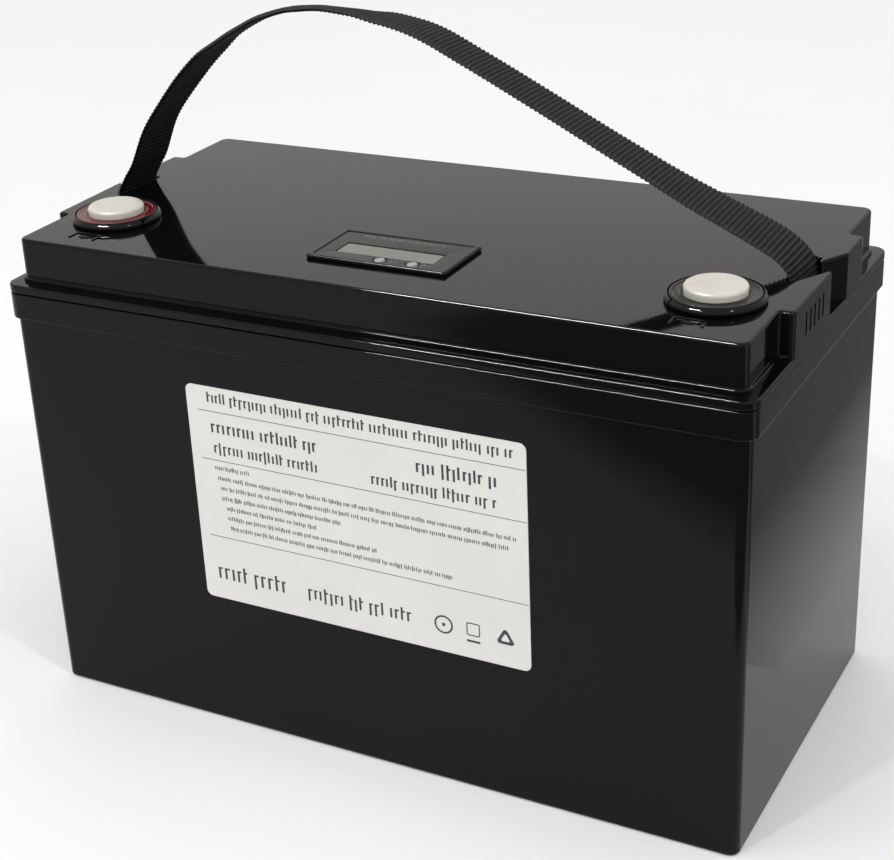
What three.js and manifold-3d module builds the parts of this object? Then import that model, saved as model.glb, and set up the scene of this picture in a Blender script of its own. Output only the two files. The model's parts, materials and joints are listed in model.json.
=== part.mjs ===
// A 12 V deep cycle battery: four prismatic cells in a glossy moulded case with a lid, two round
// terminals under lift-off caps, a small display with two push-buttons, and a webbing carrying strap.
//
// Millimetres, +Z up. The origin is on the floor under the middle of the case: +X runs along the
// length of the battery towards the negative terminal, and +Y runs towards its back.

import * as THREE from 'three';
import { mergeVertices } from 'three/addons/utils/BufferGeometryUtils.js';
import Module from 'manifold-3d';

const wasm = await Module();
wasm.setup();

// ---------------------------------------------------------------- driving dimensions

// Clearances.
const gap = 0.3; // between pieces that touch
const slipGap = 0.35; // round a piece that slides
const overrun = 1; // how far a cutter passes the face that it cuts
const buried = 0.6; // how far a joined piece reaches into the one that it stands on

// Case.
const rimLength = 330; // over the rim band
const rimWidth = 171;
const caseHeight = 191.3; // floor to the joint with the lid
const bandProud = 2; // how far the rim band stands out of the walls
const bandHeight = 10.8;
const bandUndercut = 1; // height of the slope under the band
const caseWall = 3.5;
const caseFloor = 4;
const caseCornerRadius = 4.5;
const caseInnerRadius = 1.5;
const caseEdgeRound = 1.6; // along the bottom edge

// Lid.
const jointGap = 0.4; // the open line between the case and the lid
const flangeThickness = 3.6;
const flangeEdgeRound = 0.7;
const lidRise = 18.7; // from the flange to the top of the lid
const ledgeEnd = 5.5; // flange left bare beyond the lid block, at each end
const ledgeSide = 6.5; // and at the front and the back
const lidCornerRadius = 4;
const lidEdgeRound = 1.2;
const lidWall = 3.2;
const lidTopThickness = 3;
const lidFootHeight = 1.6; // the low step round the foot of the lid block
const lidFootProud = 1.1;
const skirtHeight = 6; // the lip that drops inside the case
const skirtThickness = 2.4;

// Seal between the case and the lid.
const sealWidth = 2;
const sealHeight = 1.5;

// Tabs on the lid's ends, and the hooked slot that each strap end slides into.
const tabReach = 5.8;
const tabWidth = 89;
const tabEdgeRound = 1.5;
const tabCornerRadius = 2.2;
const tabDepth = 20; // how far the tab reaches back into the lid block
const slotFromEnd = 10.2; // strap slot centre, from the end of the rim
const slotWidth = 5;
const slotEndRoom = 2.25; // beyond each edge of the strap
const mouthFrontY = 3.5; // the slanted mouth, where it leaves the tab
const mouthRearY = 22.5;
const mouthRearInnerY = 7.7;
const chamberWidth = 8.4; // the room for the toggle bar under the slot
const chamberHeight = 8.4;
const chamberEndRoom = 1; // beyond each end of the toggle bar
const pocketWall = 3;
const gripGrooves = 5; // shallow grooves on the tab's outer face
const gripGrooveWidth = 2;
const gripGrooveDepth = 0.6;
const gripGrooveHeight = 9;
const gripGroovePitch = 5.2;
const gripGrooveFirstY = -30;
const gripGrooveTop = 5; // below the top of the lid

// Strap.
const strapWidth = 25;
const strapThickness = 1.7;
const strapRise = 72; // from the hinge line to the top of the arc
const strapHingeHeight = 13.2; // of the hinge line over the lid
const strapSteps = 64;
const toggleRadius = 3.4;
const toggleOverhang = 3; // of the toggle bar, beyond each edge of the strap
const toggleSlitDepth = 3.2;

// Terminals.
const terminalFromEnd = 30.2; // centre, from the end of the rim
const terminalFromFront = 43.5; // centre, from the front of the rim
const collarRadius = 19;
const collarWall = 1.5;
const collarHeight = 3.7;
const collarEdge = 0.7;
const insertRise = 3.0; // of the coloured ring, over the lid
const insertFloorRise = 0.9; // of the floor that the post's head sits on
const insertNeckRadius = 12.7;
const neckHoleGap = 0.3;
const capRadius = 12;
const capTopThickness = 1.6;
const capRise = 6.5; // of the cap's top, over the lid
const capEdge = 0.5;
const headRadius = 8.3;
const headThickness = 3.4;
const headHexFlat = 9;
const shankRadius = 6;
const shankLength = 21;
const socketRadius = 3.4; // M8 thread
const socketDepth = 16;
const washerRadius = 14;
const washerThickness = 1.4;
const nutFlat = 19; // across the flats
const nutThickness = 5;
const lugThickness = 2;
const lugRadius = 9;
const lugTailLength = 20;
const lugTailWidth = 11;
const crimpRadius = 5.6;
const crimpLength = 9;
const cableRadius = 4;
const cableSides = 8;
const cableSteps = 16;

// Polarity marks, raised on the lid.
const markWidth = 13;
const markDepth = 6.6;
const markLine = 0.9;
const markHeight = 0.45;
const markClear = 2.2; // from the collar to the mark
const signLength = 4.6;

// Display.
const displayFromFront = 45.3; // centre, from the front of the rim
const bezelLength = 62.5;
const bezelWidth = 33.5;
const bezelHeight = 1.6;
const bezelRadius = 1.6;
const bezelEdge = 0.7;
const bezelFrame = 2.2; // width of the raised frame round the face
const bezelFaceDrop = 0.4;
const bezelBodyInset = 1; // of the body that drops through the lid
const bezelBodyDepth = 7;
const bezelWall = 1;
const windowLength = 43.5;
const windowWidth = 10;
const windowBack = 2.85; // window centre, in front of the bezel's centre
const windowThickness = 1.6;
const windowRecess = 0.25;
const buttonRadius = 2.2;
const buttonFlangeLength = 7.4; // of the flange that holds the button in
const buttonRise = 0.4; // over the display's face
const buttonFlangeThickness = 1;
const buttonTravel = 0.6;
const buttonXs = [0.2, 14.7];
const buttonFront = 12; // button centres, in front of the bezel's centre
const dishRadius = 3.25;
const dishDepth = 0.35;
const boardThickness = 1.6;
const boardDrop = 5.6; // from the lid's top to the board's top
const switchSide = 3.2;

// Label on the front wall.
const labelLength = 153.8;
const labelHeight = 100;
const labelThickness = 0.35;
const labelCentreZ = 113.5;
const labelRadius = 3;
const labelGap = 0.1;

// Cell pack.
const cellCount = 4;
const endPadThickness = 6;
const bottomPadThickness = 3;
const controlBay = 84; // room for the protection board beyond the cells
const separatorThickness = 1.2;
const cellSideClearance = 6; // from the cell block to the case walls
const headroom = 15; // from the top of the cells to the joint
const cellCornerRadius = 3;
const cellPostRadius = 7;
const cellPostHeight = 2.5;
const cellPostFromSide = 30;
const ventRadius = 6;
const ventHeight = 0.4;
const busbarWidth = 20;
const busbarThickness = 2;
const busbarHump = 2.4; // the raised middle, which takes up movement
const busbarHumpWidth = 8;
const busbarNutRadius = 5.4;
const busbarNutHeight = 4;
const bandStrapWidth = 16;
const bandStrapThickness = 0.8;
const bandSpacing = 92; // between the two retaining bands, in height

// Protection board.
const boardSheetThickness = 1;
const controlBoardThickness = 2;
const controlSideInset = 12; // of the board, from the cells' sides
const controlHeight = 104;
const controlRise = 0.6; // of its top edge, over the cells
const sinkBase = 3;
const sinkFins = 7;
const sinkFinHeight = 9;
const sinkFinThickness = 2.2;
const sinkEdgeInset = 14;
const bayFoamThickness = 48;
const harnessRadius = 2;
const harnessClear = 8; // harness centre, from the edge of the cells' vents
const padSpacing = 18; // between the harness and the output cable, at the board
const sensorRadius = 2.4;
const sensorLength = 9;
const ribbonWidth = 10;
const ribbonThickness = 0.8;
const ribbonBack = 8; // ribbon centre, behind the display's centre
const ribbonStartX = 8;

// ---------------------------------------------------------------- derived sizes

const lidUnder = caseHeight + jointGap;
const flangeTop = lidUnder + flangeThickness;
const lidTop = flangeTop + lidRise;
const lidCeiling = lidTop - lidTopThickness;
const bodyLength = rimLength - 2 * bandProud;
const bodyWidth = rimWidth - 2 * bandProud;
const innerLength = bodyLength - 2 * caseWall;
const innerWidth = bodyWidth - 2 * caseWall;
const lidLength = rimLength - 2 * ledgeEnd;
const lidWidth = rimWidth - 2 * ledgeSide;
const rimCornerRadius = caseCornerRadius + bandProud;
const tabOuter = lidLength / 2 + tabReach;
const slotX = rimLength / 2 - slotFromEnd;
const slotOuterX = slotX + slotWidth / 2;
const slotLength = strapWidth + 2 * slotEndRoom;
const toggleLength = strapWidth + 2 * toggleOverhang;
const chamberLength = toggleLength + 2 * chamberEndRoom;
const pocketX = slotX - chamberWidth / 2 - pocketWall;
const terminalX = rimLength / 2 - terminalFromEnd;
const terminalY = -rimWidth / 2 + terminalFromFront;
const collarInner = collarRadius - collarWall;
const displayY = -rimWidth / 2 + displayFromFront;
const displayFace = lidTop + gap + bezelHeight - bezelFaceDrop;
const hingeZ = lidTop + strapHingeHeight;

const cellDepth = innerWidth - 2 * cellSideClearance;
const padTop = caseFloor + gap + bottomPadThickness;
const cellBase = padTop + gap;
const cellTop = caseHeight - headroom;
const bandRoom = bandStrapThickness + 2 * gap; // between the end cells and their pads
const blockLeft = -innerLength / 2 + gap + endPadThickness + bandRoom;
const blockRight = innerLength / 2 - controlBay - endPadThickness - bandRoom;
const cellPitch = (blockRight - blockLeft + separatorThickness + 2 * gap) / cellCount;
const cellThickness = cellPitch - separatorThickness - 2 * gap;
const cellPostY = cellDepth / 2 - cellPostFromSide;
const busbarZ = cellTop + cellPostHeight + gap;
const sheetX = blockRight + bandRoom + endPadThickness + gap;
const boardX = sheetX + boardSheetThickness + gap;
const sinkX = boardX + controlBoardThickness + gap;

// ---------------------------------------------------------------- materials

function plastic(color, roughness) {
  return new THREE.MeshStandardMaterial({ color, roughness, metalness: 0 });
}

function metal(color, roughness) {
  return new THREE.MeshStandardMaterial({ color, roughness, metalness: 1 });
}

const glossyBlack = plastic(0x101012, 0.12);
const collarBlack = plastic(0x121214, 0.18);
const insertRed = plastic(0x8c1218, 0.3);
const insertBlack = plastic(0x2b2927, 0.35);
const capWhite = plastic(0xe2dfd8, 0.4);
const webbing = plastic(0x0e0e0f, 0.9);
const toggleBlack = plastic(0x18181a, 0.6);
const sealRubber = plastic(0x1b1b1b, 0.8);
const labelWhite = plastic(0xe4e1dc, 0.55);
const displayBlack = plastic(0x232322, 0.3);
const displayGrey = plastic(0xa9aca0, 0.2);
const buttonSilver = plastic(0xd6d6d2, 0.35);
const boardGreen = plastic(0x1d4a2c, 0.5);
const cellBlue = plastic(0x2c5b93, 0.45);
const separatorAmber = plastic(0xa8853f, 0.6);
const foamGrey = plastic(0x3b3d40, 0.95);
const bandSteel = metal(0xb9bcc0, 0.35);
const copper = metal(0xb87049, 0.35);
const nickel = metal(0xc9c6bd, 0.28);
const zinc = metal(0xb4b6b8, 0.4);
const aluminium = metal(0xaeb2b6, 0.4);
const cableRed = plastic(0xa51e1e, 0.6);
const cableBlack = plastic(0x1a1a1b, 0.6);
const ribbonGrey = plastic(0xb7b6b0, 0.6);

// ---------------------------------------------------------------- solids

/** The solid that a closed geometry bounds, for joining and cutting. */
function toSolid(geometry) {
  const bare = geometry.clone();
  bare.deleteAttribute('normal');
  bare.deleteAttribute('uv');
  const merged = mergeVertices(bare, 1e-4);
  const index = merged.index.array;
  const triVerts = [];
  for (let i = 0; i < index.length; i += 3) {
    const [a, b, c] = [index[i], index[i + 1], index[i + 2]];
    if (a !== b && b !== c && c !== a) {
      triVerts.push(a, b, c);
    }
  }
  return new wasm.Manifold(new wasm.Mesh({
    numProp: 3,
    vertProperties: Float32Array.from(merged.attributes.position.array),
    triVerts: Uint32Array.from(triVerts),
  }));
}

function toGeometry(solid) {
  const mesh = solid.getMesh();
  const geometry = new THREE.BufferGeometry();
  geometry.setAttribute('position', new THREE.BufferAttribute(mesh.vertProperties, 3));
  geometry.setIndex(new THREE.BufferAttribute(mesh.triVerts, 1));
  return geometry;
}

function join(first, ...rest) {
  return toGeometry(rest.reduce((whole, piece) => whole.add(toSolid(piece)), toSolid(first)));
}

function cut(whole, ...cutters) {
  return toGeometry(cutters.reduce((left, cutter) => left.subtract(toSolid(cutter)), toSolid(whole)));
}

function common(first, second) {
  return toGeometry(toSolid(first).intersect(toSolid(second)));
}

/** A box given by its lowest and highest corners. */
function block(low, high) {
  const size = high.map((value, axis) => value - low[axis]);
  const geometry = new THREE.BoxGeometry(...size);
  geometry.translate(...low.map((value, axis) => value + size[axis] / 2));
  return geometry;
}

/** A rectangle centred on the origin, with round corners. */
function roundedRect(length, width, radius) {
  const x = length / 2 - radius;
  const y = width / 2 - radius;
  const shape = new THREE.Shape();
  shape.absarc(x, y, radius, 0, Math.PI / 2);
  shape.absarc(-x, y, radius, Math.PI / 2, Math.PI);
  shape.absarc(-x, -y, radius, Math.PI, 1.5 * Math.PI);
  shape.absarc(x, -y, radius, 1.5 * Math.PI, 2 * Math.PI);
  shape.closePath();
  return shape;
}

/** A flat piece with a given outline, from zLow to zHigh, with its edges rounded by `edge`. */
function slab(shape, zLow, zHigh, edge = 0, curveSegments = 4) {
  const geometry = new THREE.ExtrudeGeometry(shape, {
    depth: zHigh - zLow - 2 * edge,
    curveSegments,
    bevelEnabled: edge > 0,
    bevelThickness: edge,
    bevelSize: edge,
    bevelOffset: -edge,
    bevelSegments: 2,
  });
  geometry.translate(0, 0, zLow + edge);
  return geometry;
}

function plate(length, width, radius, zLow, zHigh, edge = 0) {
  return slab(roundedRect(length, width, radius), zLow, zHigh, edge);
}

/** A polygon from a list of [x, y] corners. */
function polygon(corners) {
  return new THREE.Shape(corners.map(([x, y]) => new THREE.Vector2(x, y)));
}

/** A round piece about the Z axis, from [radius, z] corners taken anticlockwise. */
function turned(corners, segments = 28) {
  const points = [...corners, corners[0]].map(([r, z]) => new THREE.Vector2(r, z));
  const geometry = new THREE.LatheGeometry(points, segments);
  geometry.rotateX(Math.PI / 2);
  return geometry;
}

function disc(radius, zLow, zHigh, segments = 28) {
  return turned([[0, zLow], [radius, zLow], [radius, zHigh], [0, zHigh]], segments);
}

/** A round bar along Y, centred on the origin. */
function barAlongY(radius, length, segments = 16) {
  return new THREE.CylinderGeometry(radius, radius, length, segments);
}

/** A hexagonal prism about the Z axis, given across its flats. */
function hexagon(acrossFlats, zLow, zHigh) {
  return disc(acrossFlats / Math.sqrt(3), zLow, zHigh, 6);
}

/** A tube along a smooth curve through the given points. */
function tube(points, radius, sides, steps) {
  const path = new THREE.CatmullRomCurve3(points.map((p) => new THREE.Vector3(...p)), false, 'centripetal');
  const section = [];
  for (let i = 0; i < sides; i += 1) {
    const angle = (i / sides) * 2 * Math.PI;
    section.push([radius * Math.cos(angle), radius * Math.sin(angle)]);
  }
  return new THREE.ExtrudeGeometry(polygon(section), { steps, extrudePath: path, curveSegments: 1 });
}

/** A flat ribbon of a given width along Y, whose side view is a line of [x, z] points. */
function ribbon(line, thickness, width) {
  const half = thickness / 2;
  const above = [];
  const below = [];
  line.forEach(([x, z], i) => {
    const [x0, z0] = line[Math.max(i - 1, 0)];
    const [x1, z1] = line[Math.min(i + 1, line.length - 1)];
    const length = Math.hypot(x1 - x0, z1 - z0);
    const nx = -(z1 - z0) / length;
    const nz = (x1 - x0) / length;
    above.push([x + nx * half, z + nz * half]);
    below.unshift([x - nx * half, z - nz * half]);
  });
  const outline = polygon([...above, ...below]);
  const geometry = new THREE.ExtrudeGeometry(outline, { depth: width, bevelEnabled: false });
  geometry.rotateX(Math.PI / 2);
  geometry.translate(0, width / 2, 0);
  return geometry;
}

// ---------------------------------------------------------------- scene graph

const battery = new THREE.Group();

function add(name, geometry, material, parent = battery) {
  geometry.computeVertexNormals();
  const mesh = new THREE.Mesh(geometry, material);
  mesh.name = name;
  parent.add(mesh);
}

/** A group at a place, for pieces that are made about their own centre. */
function placed(x, y, z = 0) {
  const group = new THREE.Group();
  group.position.set(x, y, z);
  battery.add(group);
  return group;
}

// ---------------------------------------------------------------- case, seal and label

/** The ring of the seal groove, `grow` wider than the seal on each side. */
function sealRing(zLow, zHigh, grow) {
  const middle = (caseWall + bandProud) / 2;
  const outside = middle - sealWidth / 2 - grow;
  const inside = middle + sealWidth / 2 + grow;
  const radius = rimCornerRadius;
  const loop = (inset, low, high) => plate(
    rimLength - 2 * inset, rimWidth - 2 * inset, radius - inset, low, high,
  );
  return cut(loop(outside, zLow, zHigh), loop(inside, zLow - overrun, zHigh + overrun));
}

function makeCase() {
  const bandBase = caseHeight - bandHeight;
  const walls = plate(bodyLength, bodyWidth, caseCornerRadius, 0, caseHeight - caseEdgeRound, caseEdgeRound);
  const band = plate(rimLength, rimWidth, rimCornerRadius, bandBase, caseHeight);
  const slopeInset = bandProud / 2;
  const slope = plate(
    rimLength - 2 * slopeInset, rimWidth - 2 * slopeInset, rimCornerRadius - slopeInset,
    bandBase - bandUndercut, bandBase + buried,
  );
  const hollow = plate(innerLength, innerWidth, caseInnerRadius, caseFloor, caseHeight + overrun);
  const groove = sealRing(caseHeight - sealHeight, caseHeight + overrun, gap / 2);
  return cut(join(walls, band, slope), hollow, groove);
}

function makeLabel() {
  const face = -bodyWidth / 2 - labelGap;
  const geometry = new THREE.ExtrudeGeometry(
    roundedRect(labelLength, labelHeight, labelRadius),
    { depth: labelThickness, curveSegments: 4, bevelEnabled: false },
  );
  geometry.rotateX(Math.PI / 2);
  geometry.translate(0, face, labelCentreZ);
  return geometry;
}

add('case', makeCase(), glossyBlack);
add('lid_seal', sealRing(caseHeight - sealHeight + gap / 2, caseHeight + gap / 2, 0), sealRubber);
add('label', makeLabel(), labelWhite);

// ---------------------------------------------------------------- lid

/** The strap slot and its slanted mouth in plan, at the end that `side` (1 or -1) points to. */
function strapSlot(side) {
  const inner = slotX - slotWidth / 2;
  const beyond = tabOuter + overrun;
  const frontSlope = (mouthFrontY + slotLength / 2) / (tabOuter - slotX);
  const rearSlope = (mouthRearY - mouthRearInnerY) / (tabOuter - slotOuterX);
  const corners = [
    [inner, -slotLength / 2],
    [slotX, -slotLength / 2],
    [beyond, mouthFrontY + frontSlope * overrun],
    [beyond, mouthRearY + rearSlope * overrun],
    [slotOuterX, mouthRearInnerY],
    [slotOuterX, slotLength / 2],
    [inner, slotLength / 2],
  ].map(([x, y]) => [side * x, y]);
  if (side < 0) {
    corners.reverse();
  }
  return slab(polygon(corners), flangeTop, lidTop + overrun);
}

/** The room under the strap slot, where the toggle bar lies. */
function toggleChamber(side) {
  const x = side * slotX;
  return block(
    [x - chamberWidth / 2, -chamberLength / 2, flangeTop],
    [x + chamberWidth / 2, chamberLength / 2, flangeTop + chamberHeight],
  );
}

function tab(side) {
  const length = tabReach + tabDepth;
  const middle = side * (tabOuter - length / 2);
  return plate(length, tabWidth, tabCornerRadius, lidUnder + buried, lidTop, tabEdgeRound)
    .translate(middle, 0, 0);
}

function gripGroove(side, i) {
  const y = gripGrooveFirstY + i * gripGroovePitch;
  const x = side * tabOuter;
  const top = lidTop - gripGrooveTop;
  return block(
    [x - gripGrooveDepth, y - gripGrooveWidth / 2, top - gripGrooveHeight],
    [x + gripGrooveDepth, y + gripGrooveWidth / 2, top],
  );
}

/** The hollow under the lid's top, which leaves a solid pocket round each strap slot. */
function lidHollow() {
  const length = lidLength - 2 * lidWall;
  const width = lidWidth - 2 * lidWall;
  const pocketHalf = chamberLength / 2 + pocketWall;
  const hollow = plate(length, width, caseInnerRadius, lidUnder - overrun, lidCeiling);
  const pockets = [-1, 1].map((side) => block(
    [Math.min(side * pocketX, side * tabOuter), -pocketHalf, lidUnder - 2 * overrun],
    [Math.max(side * pocketX, side * tabOuter), pocketHalf, lidTop],
  ));
  return cut(hollow, ...pockets);
}

/** The raised mark by a terminal: a frame open at the front, with a plus or a minus in it. */
function polarityMark(side) {
  const x = side * (terminalX - 1.5);
  const y = terminalY - collarRadius - markClear - markDepth / 2;
  const low = lidTop - buried;
  const high = lidTop + markHeight;
  const bar = (x0, y0, x1, y1) => block([x + x0, y + y0, low], [x + x1, y + y1, high]);
  const halfW = markWidth / 2;
  const halfD = markDepth / 2;
  const bars = [
    bar(-halfW, halfD - markLine, halfW, halfD),
    bar(-halfW, -halfD, -halfW + markLine, halfD),
    bar(halfW - markLine, -halfD, halfW, halfD),
    bar(-signLength / 2, -1 - markLine / 2, signLength / 2, -1 + markLine / 2),
  ];
  if (side < 0) {
    bars.push(bar(-markLine / 2, -1 - signLength / 3, markLine / 2, -1 + signLength / 3));
  }
  return bars;
}

function displayCutout() {
  return plate(
    bezelLength - 2 * bezelBodyInset + 2 * gap, bezelWidth - 2 * bezelBodyInset + 2 * gap, 1,
    lidCeiling - overrun, lidTop + overrun,
  ).translate(0, displayY, 0);
}

function makeLid() {
  const ends = [-1, 1];
  const flange = plate(rimLength, rimWidth, rimCornerRadius, lidUnder, flangeTop, flangeEdgeRound);
  const body = plate(lidLength, lidWidth, lidCornerRadius, lidUnder + buried, lidTop, lidEdgeRound);
  const foot = plate(
    lidLength + 2 * lidFootProud, lidWidth + 2 * lidFootProud, lidCornerRadius + lidFootProud,
    lidUnder + buried, flangeTop + lidFootHeight, lidFootProud / 2,
  );
  const skirtLength = innerLength - 2 * slipGap;
  const skirtWidth = innerWidth - 2 * slipGap;
  const skirt = cut(
    plate(skirtLength, skirtWidth, caseInnerRadius, lidUnder - skirtHeight, lidUnder + buried),
    plate(
      skirtLength - 2 * skirtThickness, skirtWidth - 2 * skirtThickness, caseInnerRadius,
      lidUnder - skirtHeight - overrun, lidUnder + overrun,
    ),
  );
  const shell = join(flange, body, foot, skirt, ...ends.map(tab));
  const holes = ends.map((side) => (
    disc(insertNeckRadius + neckHoleGap, lidCeiling - overrun, lidTop + overrun)
      .translate(side * terminalX, terminalY, 0)
  ));
  const grooves = ends.flatMap((side) => (
    Array.from({ length: gripGrooves }, (_, i) => gripGroove(side, i))
  ));
  const hollowed = cut(
    shell, lidHollow(), displayCutout(), ...holes,
    ...ends.map(strapSlot), ...ends.map(toggleChamber), ...grooves,
  );
  return join(hollowed, ...ends.flatMap(polarityMark));
}

add('lid', makeLid(), glossyBlack);

// ---------------------------------------------------------------- strap

/** The strap's side view from the left toggle to the right one, as [x, z] points. */
function strapLine() {
  const toggleTop = flangeTop + gap + 2 * toggleRadius - toggleSlitDepth + gap;
  const left = -slotX + 8.2;
  const right = slotX - 18;
  const arc = [
    [0.024, 0.24], [0.06, 0.44], [0.115, 0.65], [0.168, 0.8], [0.243, 0.93], [0.315, 1],
    [0.395, 1], [0.5, 0.935], [0.585, 0.79], [0.69, 0.59], [0.795, 0.39], [0.9, 0.19],
  ];
  const points = [
    [-slotX, toggleTop], [-slotX, lidTop - 6], [-slotX + 0.3, lidTop], [-slotX + 4, lidTop + 7],
    [left, hingeZ],
    ...arc.map(([along, up]) => [left + (right - left) * along, hingeZ + strapRise * up]),
    [right, hingeZ],
    [slotX - 9, lidTop + 9.5], [slotX - 4.2, lidTop + 6], [slotX - 0.8, lidTop + 1], [slotX, lidTop - 6],
    [slotX, toggleTop],
  ];
  const curve = new THREE.CatmullRomCurve3(
    points.map(([x, z]) => new THREE.Vector3(x, 0, z)), false, 'centripetal',
  );
  return curve.getSpacedPoints(strapSteps).map((p) => [p.x, p.z]);
}

function makeToggle(side) {
  const z = flangeTop + gap + toggleRadius;
  const slit = block(
    [-strapThickness / 2 - gap, -strapWidth / 2 - gap, z + toggleRadius - toggleSlitDepth],
    [strapThickness / 2 + gap, strapWidth / 2 + gap, z + toggleRadius + overrun],
  ).translate(side * slotX, 0, 0);
  return cut(barAlongY(toggleRadius, toggleLength).translate(side * slotX, 0, z), slit);
}

function makeStrap() {
  const whole = ribbon(strapLine(), strapThickness, strapWidth);
  const far = rimLength;
  const above = block([-far, -strapWidth, hingeZ + gap], [far, strapWidth, hingeZ + 2 * strapRise]);
  const footBox = (side) => block(
    [Math.min(0, side * far), -strapWidth, 0],
    [Math.max(0, side * far), strapWidth, hingeZ - gap],
  );
  add('carry_strap', common(whole, above), webbing);
  add('strap_foot_left', common(whole, footBox(-1)), webbing);
  add('strap_foot_right', common(whole, footBox(1)), webbing);
  add('strap_toggle_left', makeToggle(-1), toggleBlack);
  add('strap_toggle_right', makeToggle(1), toggleBlack);
}

makeStrap();

// ---------------------------------------------------------------- terminals

/** The black outer ring, which stands on the lid. */
function makeCollar() {
  const low = lidTop + gap;
  const high = low + collarHeight;
  return turned([
    [collarInner, low], [collarRadius, low], [collarRadius, high - collarEdge],
    [collarRadius - collarEdge, high], [collarInner, high],
  ], 40);
}

/** The coloured ring inside the collar, whose neck passes through the lid. */
function makeInsert() {
  const under = lidTop + gap;
  const top = lidTop + insertRise;
  const floor = lidTop + insertFloorRise;
  const well = capRadius + gap;
  const bore = shankRadius + gap;
  return turned([
    [bore, lidCeiling + gap], [insertNeckRadius, lidCeiling + gap], [insertNeckRadius, under],
    [collarInner - gap, under], [collarInner - gap, top - gap], [collarInner - 2 * gap, top],
    [well, top], [well, floor], [bore, floor],
  ], 32);
}

/** The post: a round head with a hexagonal seat, a shank, and a threaded socket from the top. */
function makePost() {
  const seat = lidTop + insertFloorRise + gap;
  const top = seat + headThickness;
  const post = turned([
    [0, seat - shankLength], [shankRadius, seat - shankLength], [shankRadius, seat],
    [headRadius, seat], [headRadius, top - gap], [headRadius - gap, top], [0, top],
  ]);
  const socket = disc(socketRadius, top - socketDepth, top + overrun, 20);
  const entry = hexagon(headHexFlat, top - 0.8, top + overrun);
  return cut(post, socket, entry);
}

/** The lift-off cap: a shallow cup that sits over the post's head. */
function makeCap() {
  const low = lidTop + insertFloorRise + gap;
  const high = lidTop + capRise;
  const inner = headRadius + slipGap;
  return turned([
    [0, high - capTopThickness], [inner, high - capTopThickness], [inner, low], [capRadius, low],
    [capRadius, high - capEdge], [capRadius - capEdge, high], [0, high],
  ], 32);
}

const washerTop = lidCeiling - gap;
const clampNutTop = washerTop - washerThickness - gap;
const lugTop = clampNutTop - nutThickness - gap;
const lugNutTop = lugTop - lugThickness - gap;

function makeWasher() {
  return cut(disc(washerRadius, washerTop - washerThickness, washerTop), shankHole());
}

function shankHole() {
  return disc(shankRadius + gap, 0, lidTop, 20);
}

function makeNut(top) {
  return cut(hexagon(nutFlat, top - nutThickness, top), shankHole());
}

/** A cable lug: an eye, a flat tail that runs back along Y, and a crimp barrel. */
function makeLug() {
  const low = lugTop - lugThickness;
  const eye = disc(lugRadius, low, lugTop);
  const tail = block([-lugTailWidth / 2, 0, low], [lugTailWidth / 2, lugTailLength, lugTop]);
  const barrel = barAlongY(crimpRadius, crimpLength)
    .translate(0, lugTailLength + crimpLength / 2 - overrun, lugTop - crimpRadius);
  const bore = barAlongY(cableRadius + gap, crimpLength)
    .translate(0, lugTailLength + crimpLength / 2 + overrun, lugTop - crimpRadius);
  return cut(join(eye, tail, barrel), shankHole(), bore);
}

const crimpY = terminalY + lugTailLength + crimpLength - overrun;
const crimpZ = lugTop - crimpRadius;
const terminals = [
  { pole: 'positive', side: -1, ring: insertRed },
  { pole: 'negative', side: 1, ring: insertBlack },
];

for (const { pole, side, ring } of terminals) {
  const group = placed(side * terminalX, terminalY);
  add(`terminal_collar_${pole}`, makeCollar(), collarBlack, group);
  add(`terminal_ring_${pole}`, makeInsert(), ring, group);
  add(`terminal_post_${pole}`, makePost(), nickel, group);
  add(`terminal_cap_${pole}`, makeCap(), capWhite, group);
  add(`terminal_washer_${pole}`, makeWasher(), zinc, group);
  add(`terminal_nut_${pole}`, makeNut(clampNutTop), zinc, group);
  add(`cable_lug_${pole}`, makeLug(), copper, group);
  add(`lug_nut_${pole}`, makeNut(lugNutTop), zinc, group);
}

// ---------------------------------------------------------------- display

const bezelInnerLength = bezelLength - 2 * bezelBodyInset;
const bezelInnerWidth = bezelWidth - 2 * bezelBodyInset;
const windowY = -windowBack;
const displayBoardTop = lidTop - boardDrop;
const faceThickness = 1.7;

function makeBezel() {
  const low = lidTop + gap;
  const frame = plate(bezelLength, bezelWidth, bezelRadius, low, low + bezelHeight, bezelEdge);
  const face = plate(
    bezelLength - 2 * bezelFrame, bezelWidth - 2 * bezelFrame, bezelRadius / 2,
    displayFace, displayFace + bezelHeight,
  );
  const body = plate(bezelInnerLength, bezelInnerWidth, 1, lidTop - bezelBodyDepth, low + buried);
  const hollow = plate(
    bezelInnerLength - 2 * bezelWall, bezelInnerWidth - 2 * bezelWall, 0.5,
    lidTop - bezelBodyDepth - overrun, displayFace - faceThickness,
  );
  const window = plate(
    windowLength + 2 * gap, windowWidth + 2 * gap, 0.6, low - overrun, displayFace + overrun,
  ).translate(0, windowY, 0);
  const holes = buttonXs.flatMap((x) => [
    disc(buttonRadius + slipGap, low - overrun, displayFace + overrun, 24).translate(x, -buttonFront, 0),
    disc(dishRadius, displayFace - dishDepth, displayFace + overrun, 24).translate(x, -buttonFront, 0),
  ]);
  return cut(join(frame, body), face, hollow, window, ...holes);
}

function makeWindow() {
  const top = displayFace - windowRecess;
  return plate(windowLength, windowWidth, 0.4, top - windowThickness, top).translate(0, windowY, 0);
}

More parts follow.
